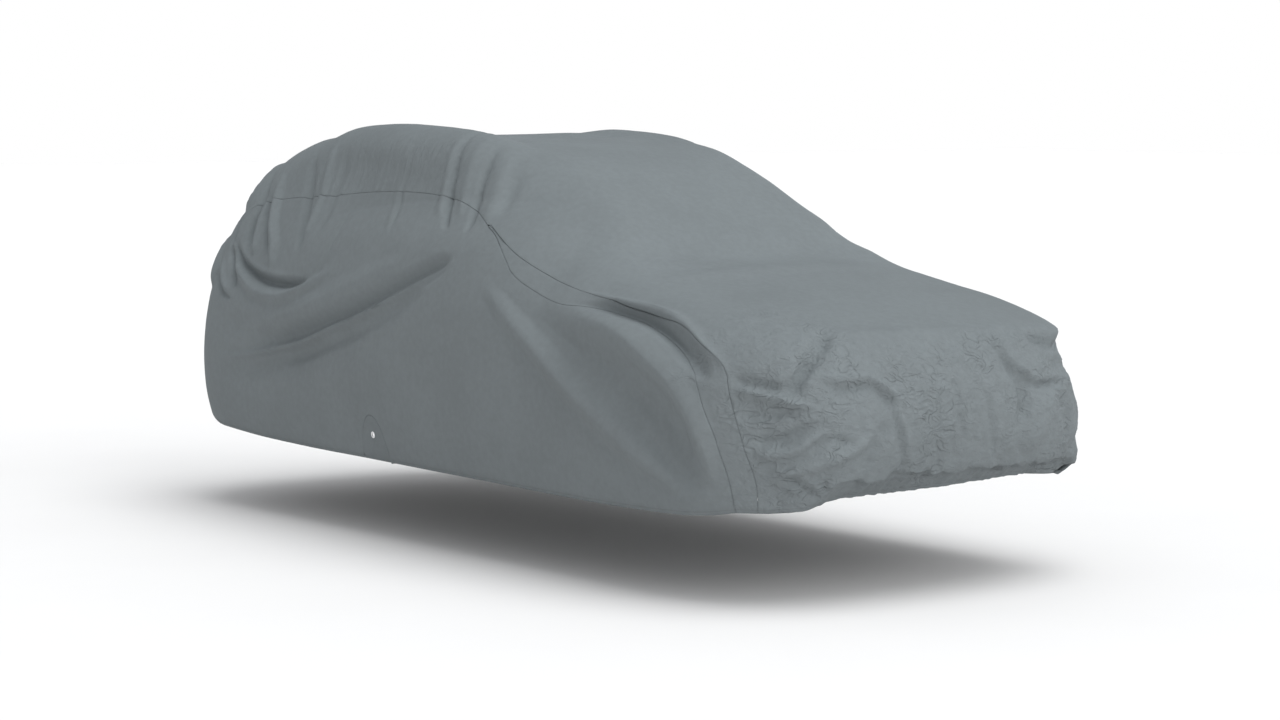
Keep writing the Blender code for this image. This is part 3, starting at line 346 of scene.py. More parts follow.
HEM_RADIUS = 0.0032       # the cloth turns in round this at a hem
SEAM_RADIUS = 0.0011      # and round this at a seam
TURNED = 0.016            # width turned under at a hem, or turned in at a seam
STITCH_LINE = 0.018       # height of the stitches above a hem
STITCHES_PER_METRE = 300.0
TURN_STEPS = 5            # rows of points round a turn
HEM_TUCK = 0.012          # a hem leans in by this much at its edge
HEM_TUCK_OVER = 0.040
TUCK_STEP = 0.034         # the front hem's elastic draws the cloth in by this much more
TUCK_EDGE = 0.026         # over this height
TUCK_TOP = 0.106          # height above the hem where it does, at the hem's right end
TUCK_FALL = 0.040         # how much lower that is at its left end
TUCK_FALL_FROM = 0.55     # and the run along the hem over which it falls
TUCK_FALL_OVER = 0.90
TUCK_TEETH = 0.024        # the edge steps up and down by this much
TUCK_PITCH = 0.038
DRAWN_RUN = (0.36, 1.60, 0.20)     # run of the front hem that is drawn: from, to, and its fading

# Gathers: pitch, depth, reach above the hem, seed
FRONT_GATHERS = (0.058, 0.019, 0.105, 75)
REAR_GATHERS = (0.080, 0.008, 0.080, 71)

# Wrinkles: depth, the size of a cell of their noise both ways, seed
FACE_CRUMPLES = (0.0052, 0.105, 0.130, 11)
FACE_CREASES = (0.0034, 0.050, 0.044, 17)
CORNER_CREASES = (0.0034, 0.100, 0.050, 31)
UNEVEN = (0.0010, 0.210, 0.170, 41)
UNEVEN_FINE = (0.0004, 0.060, 0.070, 43)

SEAM_SWELL = 0.0006       # the cloth stands up beside a seam
SEAM_STEPS = (0.0, 0.0045, 0.0080, 0.0130)   # grid lines beside a seam

# About how long the panels' ways are, to set the seams' grid lines off
SIDE_HEIGHT = 0.90
SIDE_LENGTH = 3.90
GUSSET_WIDTH = 0.075
TOP_WIDTH = 1.75
PATCH_SPOKE = 0.09

# ---- mesh density

FRONT_CORNER_ROWS = 70    # rows of the top panel: up its front corner
GUSSET_ROWS = 84          # back along the gusset
ROOF_ROWS = 120           # along the roof
REAR_CORNER_ROWS = 36     # and down the rear corner
TOP_COLUMNS = 130
SIDE_ROWS = 120
COLUMNS_REAR = 126        # columns of a side panel behind its patch
COLUMNS_PATCH = 40
COLUMNS_MIDDLE = 54       # from the patch to the point of the gusset
COLUMNS_FRONT = 128       # and under the gusset
GUSSET_COLUMNS = 8
PATCH_RINGS = 26
PATCH_FOOT_COLUMNS = 24
CURVE_STEPS = 8           # steps between two listed points of a curve
FOLD_STEPS = 6            # and between two points of a fold or of the outline
ROLL_STEPS = 12           # steps round a rolled face of an eyelet
RING_STEPS = 72           # and round the eyelet


# ---- curves

def unit(vector):
    return vector / np.linalg.norm(vector, axis=-1, keepdims=True)


def smooth_path(points, steps=CURVE_STEPS):
    """A Catmull-Rom curve through the points: each span blends its two ends with their neighbours'
    slopes, as a cubic in the way along the span."""
    p = np.asarray(points, float)
    p = np.vstack([2 * p[0] - p[1], p, 2 * p[-1] - p[-2]])
    t = np.linspace(0.0, 1.0, steps, endpoint=False)[:, None]
    spans = [
        0.5 * (2 * b + (c - a) * t + (2 * a - 5 * b + 4 * c - d) * t**2 + (3 * b - a - 3 * c + d) * t**3)
        for a, b, c, d in zip(p[:-3], p[1:-2], p[2:-1], p[3:])
    ]
    return np.vstack(spans + [p[-2][None]])


def along_path(points, count):
    """count + 1 points at equal distances along the smooth curve through the given points."""
    path = smooth_path(points)
    run = np.concatenate([[0.0], np.cumsum(np.linalg.norm(np.diff(path, axis=0), axis=1))])
    wanted = np.linspace(0.0, run[-1], count + 1)
    return np.stack([np.interp(wanted, run, path[:, k]) for k in range(path.shape[1])], axis=1)


def smoothstep(t):
    """0 below 0, 1 above 1, and 3t^2 - 2t^3 between."""
    t = np.clip(t, 0.0, 1.0)
    return t * t * (3 - 2 * t)


def within(value, low, high, edge):
    """1 between low and high, falling smoothly to 0 within edge outside them."""
    return smoothstep((value - low) / edge + 1) * smoothstep((high - value) / edge + 1)


# ---- the form

SLOPE_STEP = 0.012        # half the stretch over which slopes are measured
CELL = 0.01               # size of a cell of the outline's raster
GRID_X = np.arange(-2.60, 2.60, CELL)
GRID_HEIGHT = np.arange(0.0, 2.10, CELL)
RADIUS_ROUNDS = 60        # times the radius is softened
DISTANCE_ROUNDS = 40      # times the distance is softened, deep inside
DEEP_FROM = 0.04          # depth under the outline where that starts to count
DEEP_OVER = 0.10          # and the depth over which it comes in
HALVINGS = 20


def outline_field():
    """Signed distance to the side outline, and the rounding radius there, on a raster of cells."""
    path = smooth_path(OUTLINE, FOLD_STEPS)
    start, end = path[:-1], path[1:]
    step = end[:, :2] - start[:, :2]
    length2 = (step**2).sum(axis=1)
    px, pz = (a.ravel() for a in np.meshgrid(GRID_X, GRID_HEIGHT, indexing="ij"))
    from_x = px[:, None] - start[:, 0]
    from_z = pz[:, None] - start[:, 1]
    t = np.clip((from_x * step[:, 0] + from_z * step[:, 1]) / length2, 0.0, 1.0)
    dx = from_x - t * step[:, 0]
    dz = from_z - t * step[:, 1]
    near = (dx**2 + dz**2).argmin(axis=1)
    row = np.arange(len(px))
    dx, dz, t, step = dx[row, near], dz[row, near], t[row, near], step[near]
    side = np.sign(dx * step[:, 1] - dz * step[:, 0])
    radius = start[near, 2] + (end[near, 2] - start[near, 2]) * t
    shape = (len(GRID_X), len(GRID_HEIGHT))
    return (side * np.hypot(dx, dz)).reshape(shape), radius.reshape(shape)


def softened(raster, rounds):
    """The raster with each cell blended with its neighbours, 1 : 2 : 1 both ways, many times over."""
    for _ in range(rounds):
        for axis in (0, 1):
            raster = 0.25 * (np.roll(raster, 1, axis) + 2 * raster + np.roll(raster, -1, axis))
    return raster


# Deep inside the form the distance turns from one stretch of the outline to the next, so it is
# softened there, and the radius everywhere.
OUTLINE_DISTANCE, OUTLINE_RADIUS = outline_field()
OUTLINE_RADIUS = softened(OUTLINE_RADIUS, RADIUS_ROUNDS)
DEEP_INSIDE = smoothstep((-OUTLINE_DISTANCE - DEEP_FROM) / DEEP_OVER)
OUTLINE_DISTANCE += DEEP_INSIDE * (softened(OUTLINE_DISTANCE, DISTANCE_ROUNDS) - OUTLINE_DISTANCE)
SECTION_CURVE = smooth_path(SECTION)
ALONG_CURVE = smooth_path(ALONG)


def read_raster(raster, x, height):
    """The raster's value at a point, straight-line between the four cells around it."""
    fx = np.clip((x - GRID_X[0]) / CELL, 0.0, len(GRID_X) - 1.001)
    fz = np.clip((height - GRID_HEIGHT[0]) / CELL, 0.0, len(GRID_HEIGHT) - 1.001)
    i, j = fx.astype(int), fz.astype(int)
    fx, fz = fx - i, fz - j
    low = raster[i, j] * (1 - fx) + raster[i + 1, j] * fx
    high = raster[i, j + 1] * (1 - fx) + raster[i + 1, j + 1] * fx
    return low * (1 - fz) + high * fz


def form(p):
    """How far a point lies outside the smooth form. The distance to the side outline, taken where
    the crown and the bow have carried the point, and the distance to the side wall are joined with
    a round edge: the length of the two, each counted from one radius inside, less the radius."""
    x, y, height = p[..., 0], p[..., 1], p[..., 2]
    crown, bow, upper, lower = (np.interp(x, ALONG_CURVE[:, 0], ALONG_CURVE[:, k]) for k in (1, 2, 3, 4))
    to_outline = read_raster(OUTLINE_DISTANCE, x + bow * y**2, height + crown * y**2)
    radius = read_raster(OUTLINE_RADIUS, x + bow * y**2, height + crown * y**2)
    half_width = np.interp(height, SECTION_CURVE[:, 0], SECTION_CURVE[:, 1])
    half_width = half_width - upper * smoothstep((height - UPPER_FROM) / UPPER_OVER) - lower
    to_side = np.abs(y) - half_width
    a = np.maximum(to_outline + radius, 0.0)
    b = np.maximum(to_side + radius, 0.0)
    return np.where((a > 0) & (b > 0), np.hypot(a, b) - radius, np.maximum(to_outline, to_side))


def push_out(start, direction, reach=1.4):
    """Where rays from inside the form leave it, found by halving the stretch again and again."""
    near = np.zeros(start.shape[:-1])
    far = np.full(start.shape[:-1], reach)
    for _ in range(HALVINGS):
        middle = 0.5 * (near + far)
        inside = form(start + direction * middle[..., None]) < 0
        near = np.where(inside, middle, near)
        far = np.where(inside, far, middle)
    return start + direction * near[..., None]


def outward(p):
    """Unit normal of the form: its slope along each axis, by differences."""
    slope = [form(p + SLOPE_STEP * axis) - form(p - SLOPE_STEP * axis) for axis in np.eye(3)]
    return unit(np.stack(slope, axis=-1))


def on_side(x, height, side):
    """The point of the form seen at x, height from the given side (-1 right, +1 left)."""
    start = np.stack([x, np.zeros_like(x), height], axis=-1)
    return push_out(start, np.array([0.0, float(side), 0.0]))


# ---- folds

VIEWS = {                 # the ray that carries a flat point onto the form: start, direction
    "right": (lambda a, b: (a, 0 * a, b), (0, -1, 0)),
    "left": (lambda a, b: (a, 0 * a, b), (0, 1, 0)),
    "front": (lambda a, b: (0 * a + 1.2, a, b), (1, 0, 0)),
    "rear": (lambda a, b: (0 * a - 1.2, a, b), (-1, 0, 0)),
    "top": (lambda a, b: (a, b, 0 * a + 0.9), (0, 0, 1)),
}


def fold_line(view, points):
    """The fold's line on the form: the smooth curve through its points, carried out along the view."""
    path = smooth_path(points, FOLD_STEPS)
    place, direction = VIEWS[view]
    start = np.stack(place(path[:, 0], path[:, 1]), axis=-1)
    return push_out(start, np.array(direction, float))


FOLD_LINES = [
    (fold_line(view, points), width, depth, crisp)
    for view, folds in FOLDS.items() for width, depth, crisp, points in folds
]


def fold_height(p, line, width, depth, crisp):
    """Height of one fold, where q is the distance to the line over the half width: depth times a
    blend of the soft profile (1 - q^2)^2 and the crisp one (1 - q)^2, fading at the line's ends."""
    start, step = line[:-1], np.diff(line, axis=0)
    from_start = p[:, None] - start
    t = np.clip((from_start * step).sum(axis=-1) / (step**2).sum(axis=-1), 0.0, 1.0)
    distance = np.linalg.norm(from_start - t[..., None] * step, axis=-1)
    near = distance.argmin(axis=1)
    row = np.arange(len(p))
    way = (near + t[row, near]) / len(step)
    fade = smoothstep(1.0 - np.abs(2 * way - 1) ** 3)
    q = np.clip(distance[row, near] / (width * (0.5 + 0.5 * fade)), 0.0, 1.0)
    return depth * fade * ((1 - crisp) * (1 - q * q) ** 2 + crisp * (1 - q) ** 2)


def drape(p):
    """Height of the cloth above the form: the swells and the folds. A swell is a tent over its four
    reaches in side view: 1 - sqrt(q^2 + bluntness (1 - q^2)), with q the distance over the reach."""
    flat = p.reshape(-1, 3)
    total = np.zeros(len(flat))
    for side, x, height, behind, ahead, above, below, depth, bluntness in SWELLS:
        along, up = flat[:, 0] - x, flat[:, 2] - height
        q2 = (along / np.where(along < 0, behind, ahead)) ** 2 + (up / np.where(up < 0, below, above)) ** 2
        q2 = np.clip(q2, 0.0, 1.0)
        tent = (1 - np.sqrt(q2 + bluntness * (1 - q2))) / (1 - math.sqrt(bluntness))
        total += np.where(side * flat[:, 1] > 0, depth * tent, 0.0)
    for line, width, depth, crisp in FOLD_LINES:
        low, high = line.min(axis=0) - width, line.max(axis=0) + width
        close = np.all((flat > low) & (flat < high), axis=1)
        if close.any():
            total[close] += fold_height(flat[close], line, width, depth, crisp)
    return total.reshape(p.shape[:-1])


# ---- wrinkles

def lattice_noise(u, v, seed, size=64):
    """Smooth noise from -1 to 1: seeded random values on a square lattice that repeats every size
    cells, blended between its corners with 3t^2 - 2t^3."""
    values = np.random.default_rng(seed).uniform(-1.0, 1.0, (size, size))
    i, j = np.floor(u).astype(int), np.floor(v).astype(int)
    fu, fv = smoothstep(u - i), smoothstep(v - j)
    i0, i1, j0, j1 = i % size, (i + 1) % size, j % size, (j + 1) % size
    low = values[i0, j0] * (1 - fu) + values[i1, j0] * fu
    high = values[i0, j1] * (1 - fu) + values[i1, j1] * fu
    return low * (1 - fv) + high * fv


def creased(u, v, seed):
    """Crumple about 0 with sharp crests: (1 - |noise|)^3 over two scales, the finer one warped by a
    third, less its usual mean."""
    warp = 0.8 * lattice_noise(0.5 * u, 0.5 * v, seed + 1)
    broad = 1 - np.abs(lattice_noise(u + warp, v - warp, seed))
    fine = 1 - np.abs(lattice_noise(2.1 * u - warp, 2.1 * v + warp, seed + 2))
    return broad**3 + 0.45 * fine**3 - 0.60


def front_face(p, normal):
    """1 over the front face below its leading edge, 0 elsewhere."""
    return smoothstep(1.6 * normal[..., 0] - 0.3) * within(p[..., 2], 0.30, 0.97, 0.07) * (p[..., 0] > 1.2)


def front_corner(p):
    """1 on the top beside the right front corner, where the cloth bunches above the gusset."""
    x, y, height = p[..., 0], p[..., 1], p[..., 2]
    return within(x, 1.74, 2.04, 0.14) * within(-y, 0.50, 0.95, 0.12) * within(height, 0.84, 1.06, 0.05)


def wrinkles(noise_kind, a, b, depth, across, up, seed):
    """Depth times a kind of noise, read at two lengths over the size of its cells."""
    return depth * noise_kind(a / across, b / up, seed)


def rumple(p, normal):
    """Wrinkles of each place, in metres: crumples over the front face, smaller ones above the right
    front corner, and a slow unevenness everywhere."""
    x, y, height = p[..., 0], p[..., 1], p[..., 2]
    on_face = wrinkles(creased, y, height, *FACE_CRUMPLES)
    on_face += wrinkles(creased, y + 0.3 * height, height, *FACE_CREASES)
    on_corner = wrinkles(creased, x, y, *CORNER_CREASES)
    everywhere = wrinkles(lattice_noise, x, y + height, *UNEVEN)
    everywhere += wrinkles(lattice_noise, x, y + 1.3 * height, *UNEVEN_FINE)
    return front_face(p, normal) * on_face + front_corner(p) * on_corner + everywhere


def gathers(run, above, pitch, depth, reach, seed):
    """Gathers that a drawn hem makes: ridges (0.5 + 0.5 cos)^1.5 of uneven spacing and size, dying
    away upwards as exp(-(height / reach)^2), each with its own reach."""
    level = 0 * run
    sway = run / pitch + 0.5 * lattice_noise(run / (2.3 * pitch), level, seed)
    lean = 0.35 * lattice_noise(run / 0.11, above / 0.06, seed + 1)
    ridge = (0.5 + 0.5 * np.cos(2 * math.pi * (sway + lean))) ** 1.5
    size = 0.65 + 0.45 * lattice_noise(run / (1.7 * pitch), level, seed + 2)
    own_reach = reach * (0.8 + 0.45 * lattice_noise(run / (1.1 * pitch), level, seed + 3))
    return depth * size * (ridge - 0.35) * np.exp(-((above / own_reach) ** 2))


# ---- panel grids, as points of the form

def joined(first, first_count, second, second_count):
    """Two curves laid end to end, each with its own number of equal steps."""
    return np.vstack([along_path(first, first_count)[:-1], along_path(second, second_count)])


def coons(bottom, top, rear, front):
    """Fill between four edge curves that share their corners: the two straight blends between facing
    edges, less the blend of the four corners."""
    u = np.linspace(0.0, 1.0, len(bottom))[None, :, None]
    v = np.linspace(0.0, 1.0, len(rear))[:, None, None]
    between_rows = (1 - v) * bottom[None] + v * top[None]
    between_columns = (1 - u) * rear[:, None] + u * front[:, None]
    corners = ((1 - v) * ((1 - u) * bottom[0] + u * bottom[-1])
               + v * ((1 - u) * top[0] + u * top[-1]))
    return between_rows + between_columns - corners


def graded(count, length, at_start, at_end):
    """Fractions from 0 to 1 in about count even steps, with the seam's finer steps at the ends that
    have one. length is the way's length in metres."""
    fine = np.array(SEAM_STEPS) / length
    even = np.linspace(0.0, 1.0, count + 1)
    start = fine if at_start else even[:1]
    end = 1 - fine[::-1] if at_end else even[-1:]
    clear = 0.6 / count
    return np.concatenate([start, even[(even > start[-1] + clear) & (even < end[0] - clear)], end])


def resample(grid, row_way, column_way):
    """Read a grid at fractions of its two ways, straight-line between its points."""
    for axis, way in ((0, row_way), (1, column_way)):
        place = np.asarray(way) * (grid.shape[axis] - 1)
        low = np.minimum(place.astype(int), grid.shape[axis] - 2)
        part = np.expand_dims(place - low, tuple(k for k in range(grid.ndim) if k != axis))
        grid = np.take(grid, low, axis) * (1 - part) + np.take(grid, low + 1, axis) * part
    return grid


def hem_height(x):
    """Height of the side hem at x, read off its smooth curve."""
    curve = smooth_path(SIDE_HEM)
    return np.interp(x, curve[:, 0], curve[:, 1])


def patch_arch():
    """Side-view points of the arch over the patch, rear foot to front foot: half an ellipse."""
    angle = np.linspace(math.pi, 0.0, COLUMNS_PATCH + 1)
    x = EYELET_X + PATCH_HALF_WIDTH * np.cos(angle)
    foot = hem_height(x)
    return np.stack([x, foot + (PATCH_TOP - foot) * np.sin(angle)], axis=1)


def hitch(plane, side):
    """Carry side-view points onto the form. On the left the front corner is drawn up first, fading as
    a square with the height and coming in along x."""
    x, height = plane[..., 0], plane[..., 1]
    if side > 0:
        along = np.clip((x - LEFT_CORNER_FROM) / LEFT_CORNER_OVER, 0.0, 1.0)
        down = np.clip((LEFT_CORNER_TOP - height) / (LEFT_CORNER_TOP - SIDE_HEM[-1][1]), 0.0, 1.0)
        height = height + LEFT_CORNER_RISE * along * down**2
    return on_side(x, height, side)


def side_grid(side):
    """A side panel, rows from the hem up to the roof seam, closer towards the top, and columns from
    the rear corner forward."""
    arch = patch_arch()
    behind = np.linspace(SIDE_HEM[0][0], arch[0, 0], COLUMNS_REAR + 1)[:-1]
    ahead = np.linspace(arch[-1, 0], SIDE_HEM[-1][0], COLUMNS_MIDDLE + COLUMNS_FRONT + 1)[1:]
    bottom = np.vstack([
        np.stack([behind, hem_height(behind)], axis=1),
        arch,
        np.stack([ahead, hem_height(ahead)], axis=1),
    ])
    top = joined(ROOF_SEAM, COLUMNS_REAR + COLUMNS_PATCH + COLUMNS_MIDDLE, GUSSET_LOWER, COLUMNS_FRONT)
    rear = along_path(REAR_CORNER, SIDE_ROWS)
    front = along_path(CORNER_REAR, SIDE_ROWS)[::-1]
    plane = coons(bottom, top, rear, front)
    rows = graded(SIDE_ROWS, SIDE_HEIGHT, False, True)
    rows = rows + 0.25 * rows * (1 - rows)
    columns = graded(len(bottom) - 1, SIDE_LENGTH, True, True)
    return hitch(resample(plane, rows, columns), side)


def gusset_edge(narrow, corner):
    """One edge of a gusset, from the hem up the corner and back to the gusset's point."""
    return joined(narrow, GUSSET_ROWS, corner, FRONT_CORNER_ROWS)[::-1]


def gusset_grid(side):
    """Rows run from the hem up the corner and back to the gusset's point, columns from its rear or
    lower edge to its front or upper one."""
    edges = [gusset_edge(GUSSET_LOWER, CORNER_REAR), gusset_edge(GUSSET_UPPER, CORNER_FRONT)]
    plane = np.stack(edges, axis=1)
    columns = graded(GUSSET_COLUMNS, GUSSET_WIDTH, True, True)
    return hitch(resample(plane, np.linspace(0.0, 1.0, len(plane)), columns), side)


def top_edge(side):
    """The top panel's edge on one side, from the front hem back over the roof to the rear hem."""
    rear = joined(REAR_CORNER, REAR_CORNER_ROWS, ROOF_SEAM, ROOF_ROWS)[::-1]
    return hitch(np.vstack([gusset_edge(GUSSET_UPPER, CORNER_FRONT), rear[1:]]), side)


def eased(path, rounds=60):
    """A path smoothed by blending each point with its neighbours, 1 : 2 : 1, many times over."""
    path = path.copy()
    for _ in range(rounds):
        path[1:-1] = 0.25 * (path[:-2] + 2 * path[1:-1] + path[2:])
    return path


def top_grid():
    """Rows cross the panel from seam to seam. Each point starts on a chord inside the form and goes
    out through a guide arch that stands on the chord, as high as the form is in the middle."""
    right, left = top_edge(-1), top_edge(1)
    middle = eased(0.5 * (right + left))
    run = np.gradient(middle, axis=0)
    lift = unit(np.stack([run[:, 2], 0 * run[:, 0], -run[:, 0]], axis=1))
    rise = np.linalg.norm(push_out(middle - 0.25 * lift, lift) - middle, axis=1)
    way = graded(TOP_COLUMNS, TOP_WIDTH, True, True)[None, :, None]
    t = 2 * way - 1
    chord = right[:, None] * (1 - way) + left[:, None] * way
    row = np.arange(len(right))[:, None]
    front_rise = FRONT_HEM_RISE * np.clip(1 - row / (HEM_RISE_SHARE * FRONT_CORNER_ROWS), 0, 1) ** 2
    rear_rise = REAR_HEM_RISE * np.clip(1 - row[::-1] / (HEM_RISE_SHARE * REAR_CORNER_ROWS), 0, 1) ** 2
    chord[..., 2] += (front_rise + rear_rise) * (1 - t[..., 0] ** 4)
    guide = chord + lift[:, None] * (rise[:, None, None] * (1 - t**4))
    start = 0.4 * middle[:, None] + 0.6 * chord - 0.20 * lift[:, None] * (1 - t**4)
    return push_out(start, unit(guide - start))


# ---- seams and hems

# The edges of a grid: the way that leads off the edge, and which end of it
FIRST_ROW, LAST_ROW, FIRST_COLUMN, LAST_COLUMN = (0, 0), (0, -1), (1, 0), (1, -1)
TURN_ROWS = TURN_STEPS + 2          # rows or columns that a turned edge adds


def lengths(grid, axis):
    """Length of the way along one axis of a grid, from its start, at every point."""
    step = np.linalg.norm(np.diff(grid, axis=axis), axis=-1)
    first = np.zeros_like(np.take(step, [0], axis))
    return np.concatenate([first, np.cumsum(step, axis)], axis)


def from_edge(grid, axis, end):
    """Distance from one edge of a grid, and the run along that edge, at every point. axis is the way
    that leads off the edge, and end is 0 for the edge at its start, -1 at its end."""
    way = lengths(grid, axis)
    off = np.abs(way - np.take(way, [end], axis))
    run = np.take(lengths(grid, 1 - axis), [end], axis)
    return off, run + 0 * off


def seam_relief(off, run, seed):
    """Relief of the cloth beside a seam: a low swell next to it, and puckers across the seam that die
    away over a few centimetres."""
    swell = SEAM_SWELL * np.exp(-(((off - 0.008) / 0.005) ** 2))
    pucker = 0.0011 * lattice_noise(run / 0.019, off / 0.045, seed) * np.exp(-off / 0.020)
    return swell + pucker * (1 - np.exp(-((off / 0.004) ** 2)))


def turn_edge(surface, axis, end, radius, angle):
    """Carry one edge of a grid on round an arc and then straight on: half a circle at a hem, so that
    the cloth goes back up inside, and a quarter of one at a seam, so that it goes straight in."""
    grid = surface if axis == 0 else surface.swapaxes(0, 1)
    grid = grid[::-1] if end else grid
    on = unit(grid[0] - grid[1])
    out = outward(grid[:1])[0]
    out = unit(out - (out * on).sum(axis=-1, keepdims=True) * on)
    radius, angle = (np.broadcast_to(a, len(on))[:, None] for a in (radius, angle))
    arc = [grid[0] + radius * (np.sin(a) * on - (1 - np.cos(a)) * out)
           for a in (angle * k / TURN_STEPS for k in range(TURN_STEPS, 0, -1))]
    onward = np.cos(angle) * on - np.sin(angle) * out
    tail = [arc[0] + TURNED * onward, arc[0] + 0.3 * TURNED * onward]
    grid = np.concatenate([np.stack(tail + arc), grid])
    grid = grid[::-1] if end else grid
    return grid if axis == 0 else grid.swapaxes(0, 1)


def pad_edge(values, axis, end):
    """Repeat the values of a grid's edge over the rows or columns that turn_edge adds."""
    pad = [(0, 0)] * values.ndim
    pad[axis] = (0, TURN_ROWS) if end else (TURN_ROWS, 0)
    return np.pad(values, pad, mode="edge")


# ---- meshes

def grid_normals(surface, closed=False):
    """Unit normals of a grid: the cross product of its steps along columns and along rows."""
    if closed:
        along = np.roll(surface, -1, axis=1) - np.roll(surface, 1, axis=1)
    else:
        along = np.gradient(surface, axis=1)
    return unit(np.cross(along, np.gradient(surface, axis=0)))


def sheet_faces(rows, columns, closed, turned):
    """Quads of the two faces of a sheet and of the rims between them. A closed sheet's last column
    meets its first one. turned says that the grid's own order gives normals that point inwards."""
    index = np.arange(rows * columns).reshape(rows, columns)
    if closed:
        index = np.concatenate([index, index[:, :1]], axis=1)
        loops = [index[0], index[-1, ::-1]]
    else:
        loops = [np.concatenate([index[0], index[1:, -1], index[-1, -2::-1], index[-2::-1, 0]])]
    quads = [index[:-1, :-1], index[:-1, 1:], index[1:, 1:], index[1:, :-1]]
    face = np.stack(quads, axis=-1).reshape(-1, 4)
    count = rows * columns
    rims = [np.stack([p[1:], p[:-1], p[:-1] + count, p[1:] + count], axis=-1) for p in loops]
    faces = np.vstack([face, face[:, ::-1] + count] + rims)
    return faces[:, ::-1] if turned else faces


def mesh_from(name, points, faces, uv=None, marks=None):
    """A smooth mesh from arrays of points and of faces that all have the same number of corners. Where
    they are given, uv is its map in metres, and marks are named numbers for each point."""
    mesh = bpy.data.meshes.new(name)
    corners = faces.shape[1]
    mesh.vertices.add(len(points))
    mesh.vertices.foreach_set("co", (points - ORIGIN).astype(np.float32).ravel())
    mesh.loops.add(faces.size)
    mesh.loops.foreach_set("vertex_index", faces.astype(np.int32).ravel())
    mesh.polygons.add(len(faces))
    mesh.polygons.foreach_set("loop_start", np.arange(0, faces.size, corners, dtype=np.int32))
    mesh.polygons.foreach_set("loop_total", np.full(len(faces), corners, dtype=np.int32))
    mesh.update(calc_edges=True)
    mesh.validate()
    mesh.shade_smooth()
    if uv is not None:
        layer = mesh.uv_layers.new(name="cloth")
        layer.data.foreach_set("uv", uv[faces.ravel()].astype(np.float32).ravel())
    for mark, values in (marks or {}).items():
        field = mesh.attributes.new(mark, "FLOAT", "POINT")
        field.data.foreach_set("value", values.astype(np.float32))
    return mesh


def add_piece(mesh, material, node):
    """Put a finished mesh in the scene, in place of its CAD node."""
    mesh.materials.append(material)
    piece = bpy.data.objects.new(mesh.name, mesh)
    bpy.context.scene.collection.objects.link(piece)
    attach(piece, "root")
    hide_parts(node)
    return piece


def cloth_sheet(name, outer, marks, uv, closed=False):
    """A closed sheet under its outer face: the inner face lies one thickness in, along the normals."""
    normal = grid_normals(outer, closed)
    middle = outer.shape[0] // 2
    to_inside = outer[middle] - np.array([0.0, 0.0, 0.8])
    turned = (normal[middle] * to_inside).sum() < 0
    normal = -normal if turned else normal
    inner = outer - CLOTH * normal
    points = np.vstack([outer.reshape(-1, 3), inner.reshape(-1, 3)])
    both = {mark: np.tile(values.ravel(), 2) for mark, values in marks.items()}
    faces = sheet_faces(*outer.shape[:2], closed, turned)
    return mesh_from(name, points, faces, np.tile(uv.reshape(-1, 2), (2, 1)), both)


def draw_in(grid, axis, end, amount):
    """Draw one edge of a grid in, towards the next row or column."""
    lines = grid if axis == 0 else grid.swapaxes(0, 1)
    inner = -2 if end else 1
    lines[end] += np.broadcast_to(amount, lines.shape[1])[:, None] * unit(lines[inner] - lines[end])


def panel(name, grid, node, material, seams, hems, gather=None, ripple=None, arch=0.0):
    """One panel of cloth. seams and hems name its edges as (axis, end). Hems lean in, gather where
    asked, and are turned under. arch is 1 where the hem's edge runs round a patch instead."""
    grid = grid.copy()
    for axis, end in seams:
        draw_in(grid, axis, end, SEAM_GAP + SEAM_RADIUS)
    for axis, end in hems:
        draw_in(grid, axis, end, arch * (SEAM_GAP + SEAM_RADIUS))
    normal = outward(grid)
    height = drape(grid) + rumple(grid, normal)
    nearest = np.full(grid.shape[:2], 1.0)
    for k, (axis, end) in enumerate(seams):
        off, run = from_edge(grid, axis, end)
        height += seam_relief(off, run, 61 + 2 * k)
        nearest = np.minimum(nearest, off)
    above = np.full(grid.shape[:2], 1.0)
    for axis, end in hems:
        off, run = from_edge(grid, axis, end)
        height -= (1 - arch) * HEM_TUCK * np.clip(1 - off / HEM_TUCK_OVER, 0.0, 1.0) ** 2
        nearest = np.minimum(nearest, off + 0.1 * (1 - arch))
        above = np.minimum(above, off + 0.1 * arch)
        if gather:
            height += gather(off, run, end)
    outer = grid + normal * height[..., None]
    marks = {
        "seam": nearest,
        "hem": above,
        "crumple": np.maximum(front_face(grid, normal), 0.7 * front_corner(grid)),
        "ripple": ripple(grid) if ripple else 0 * nearest,
    }
    uv = np.stack([lengths(grid, 1), lengths(grid, 0)], axis=-1)
    hem_turn = (HEM_RADIUS + (SEAM_RADIUS - HEM_RADIUS) * arch, math.pi * (1 - 0.5 * arch))
    turns = [(edge, *hem_turn) for edge in hems] + [(edge, SEAM_RADIUS, 0.5 * math.pi) for edge in seams]
    for (axis, end), radius, angle in turns:
        outer = turn_edge(outer, axis, end, radius, angle)
        marks = {mark: pad_edge(values, axis, end) for mark, values in marks.items()}
        uv = pad_edge(uv, axis, end)
    piece = add_piece(cloth_sheet(name, outer, marks, uv), material, node)


def over_patch(grid):
    """1 for the columns of a side panel that stand on the patch's arch, 0 for the others."""
    return (np.abs(grid[0, :, 0] - EYELET_X) < PATCH_HALF_WIDTH).astype(float)


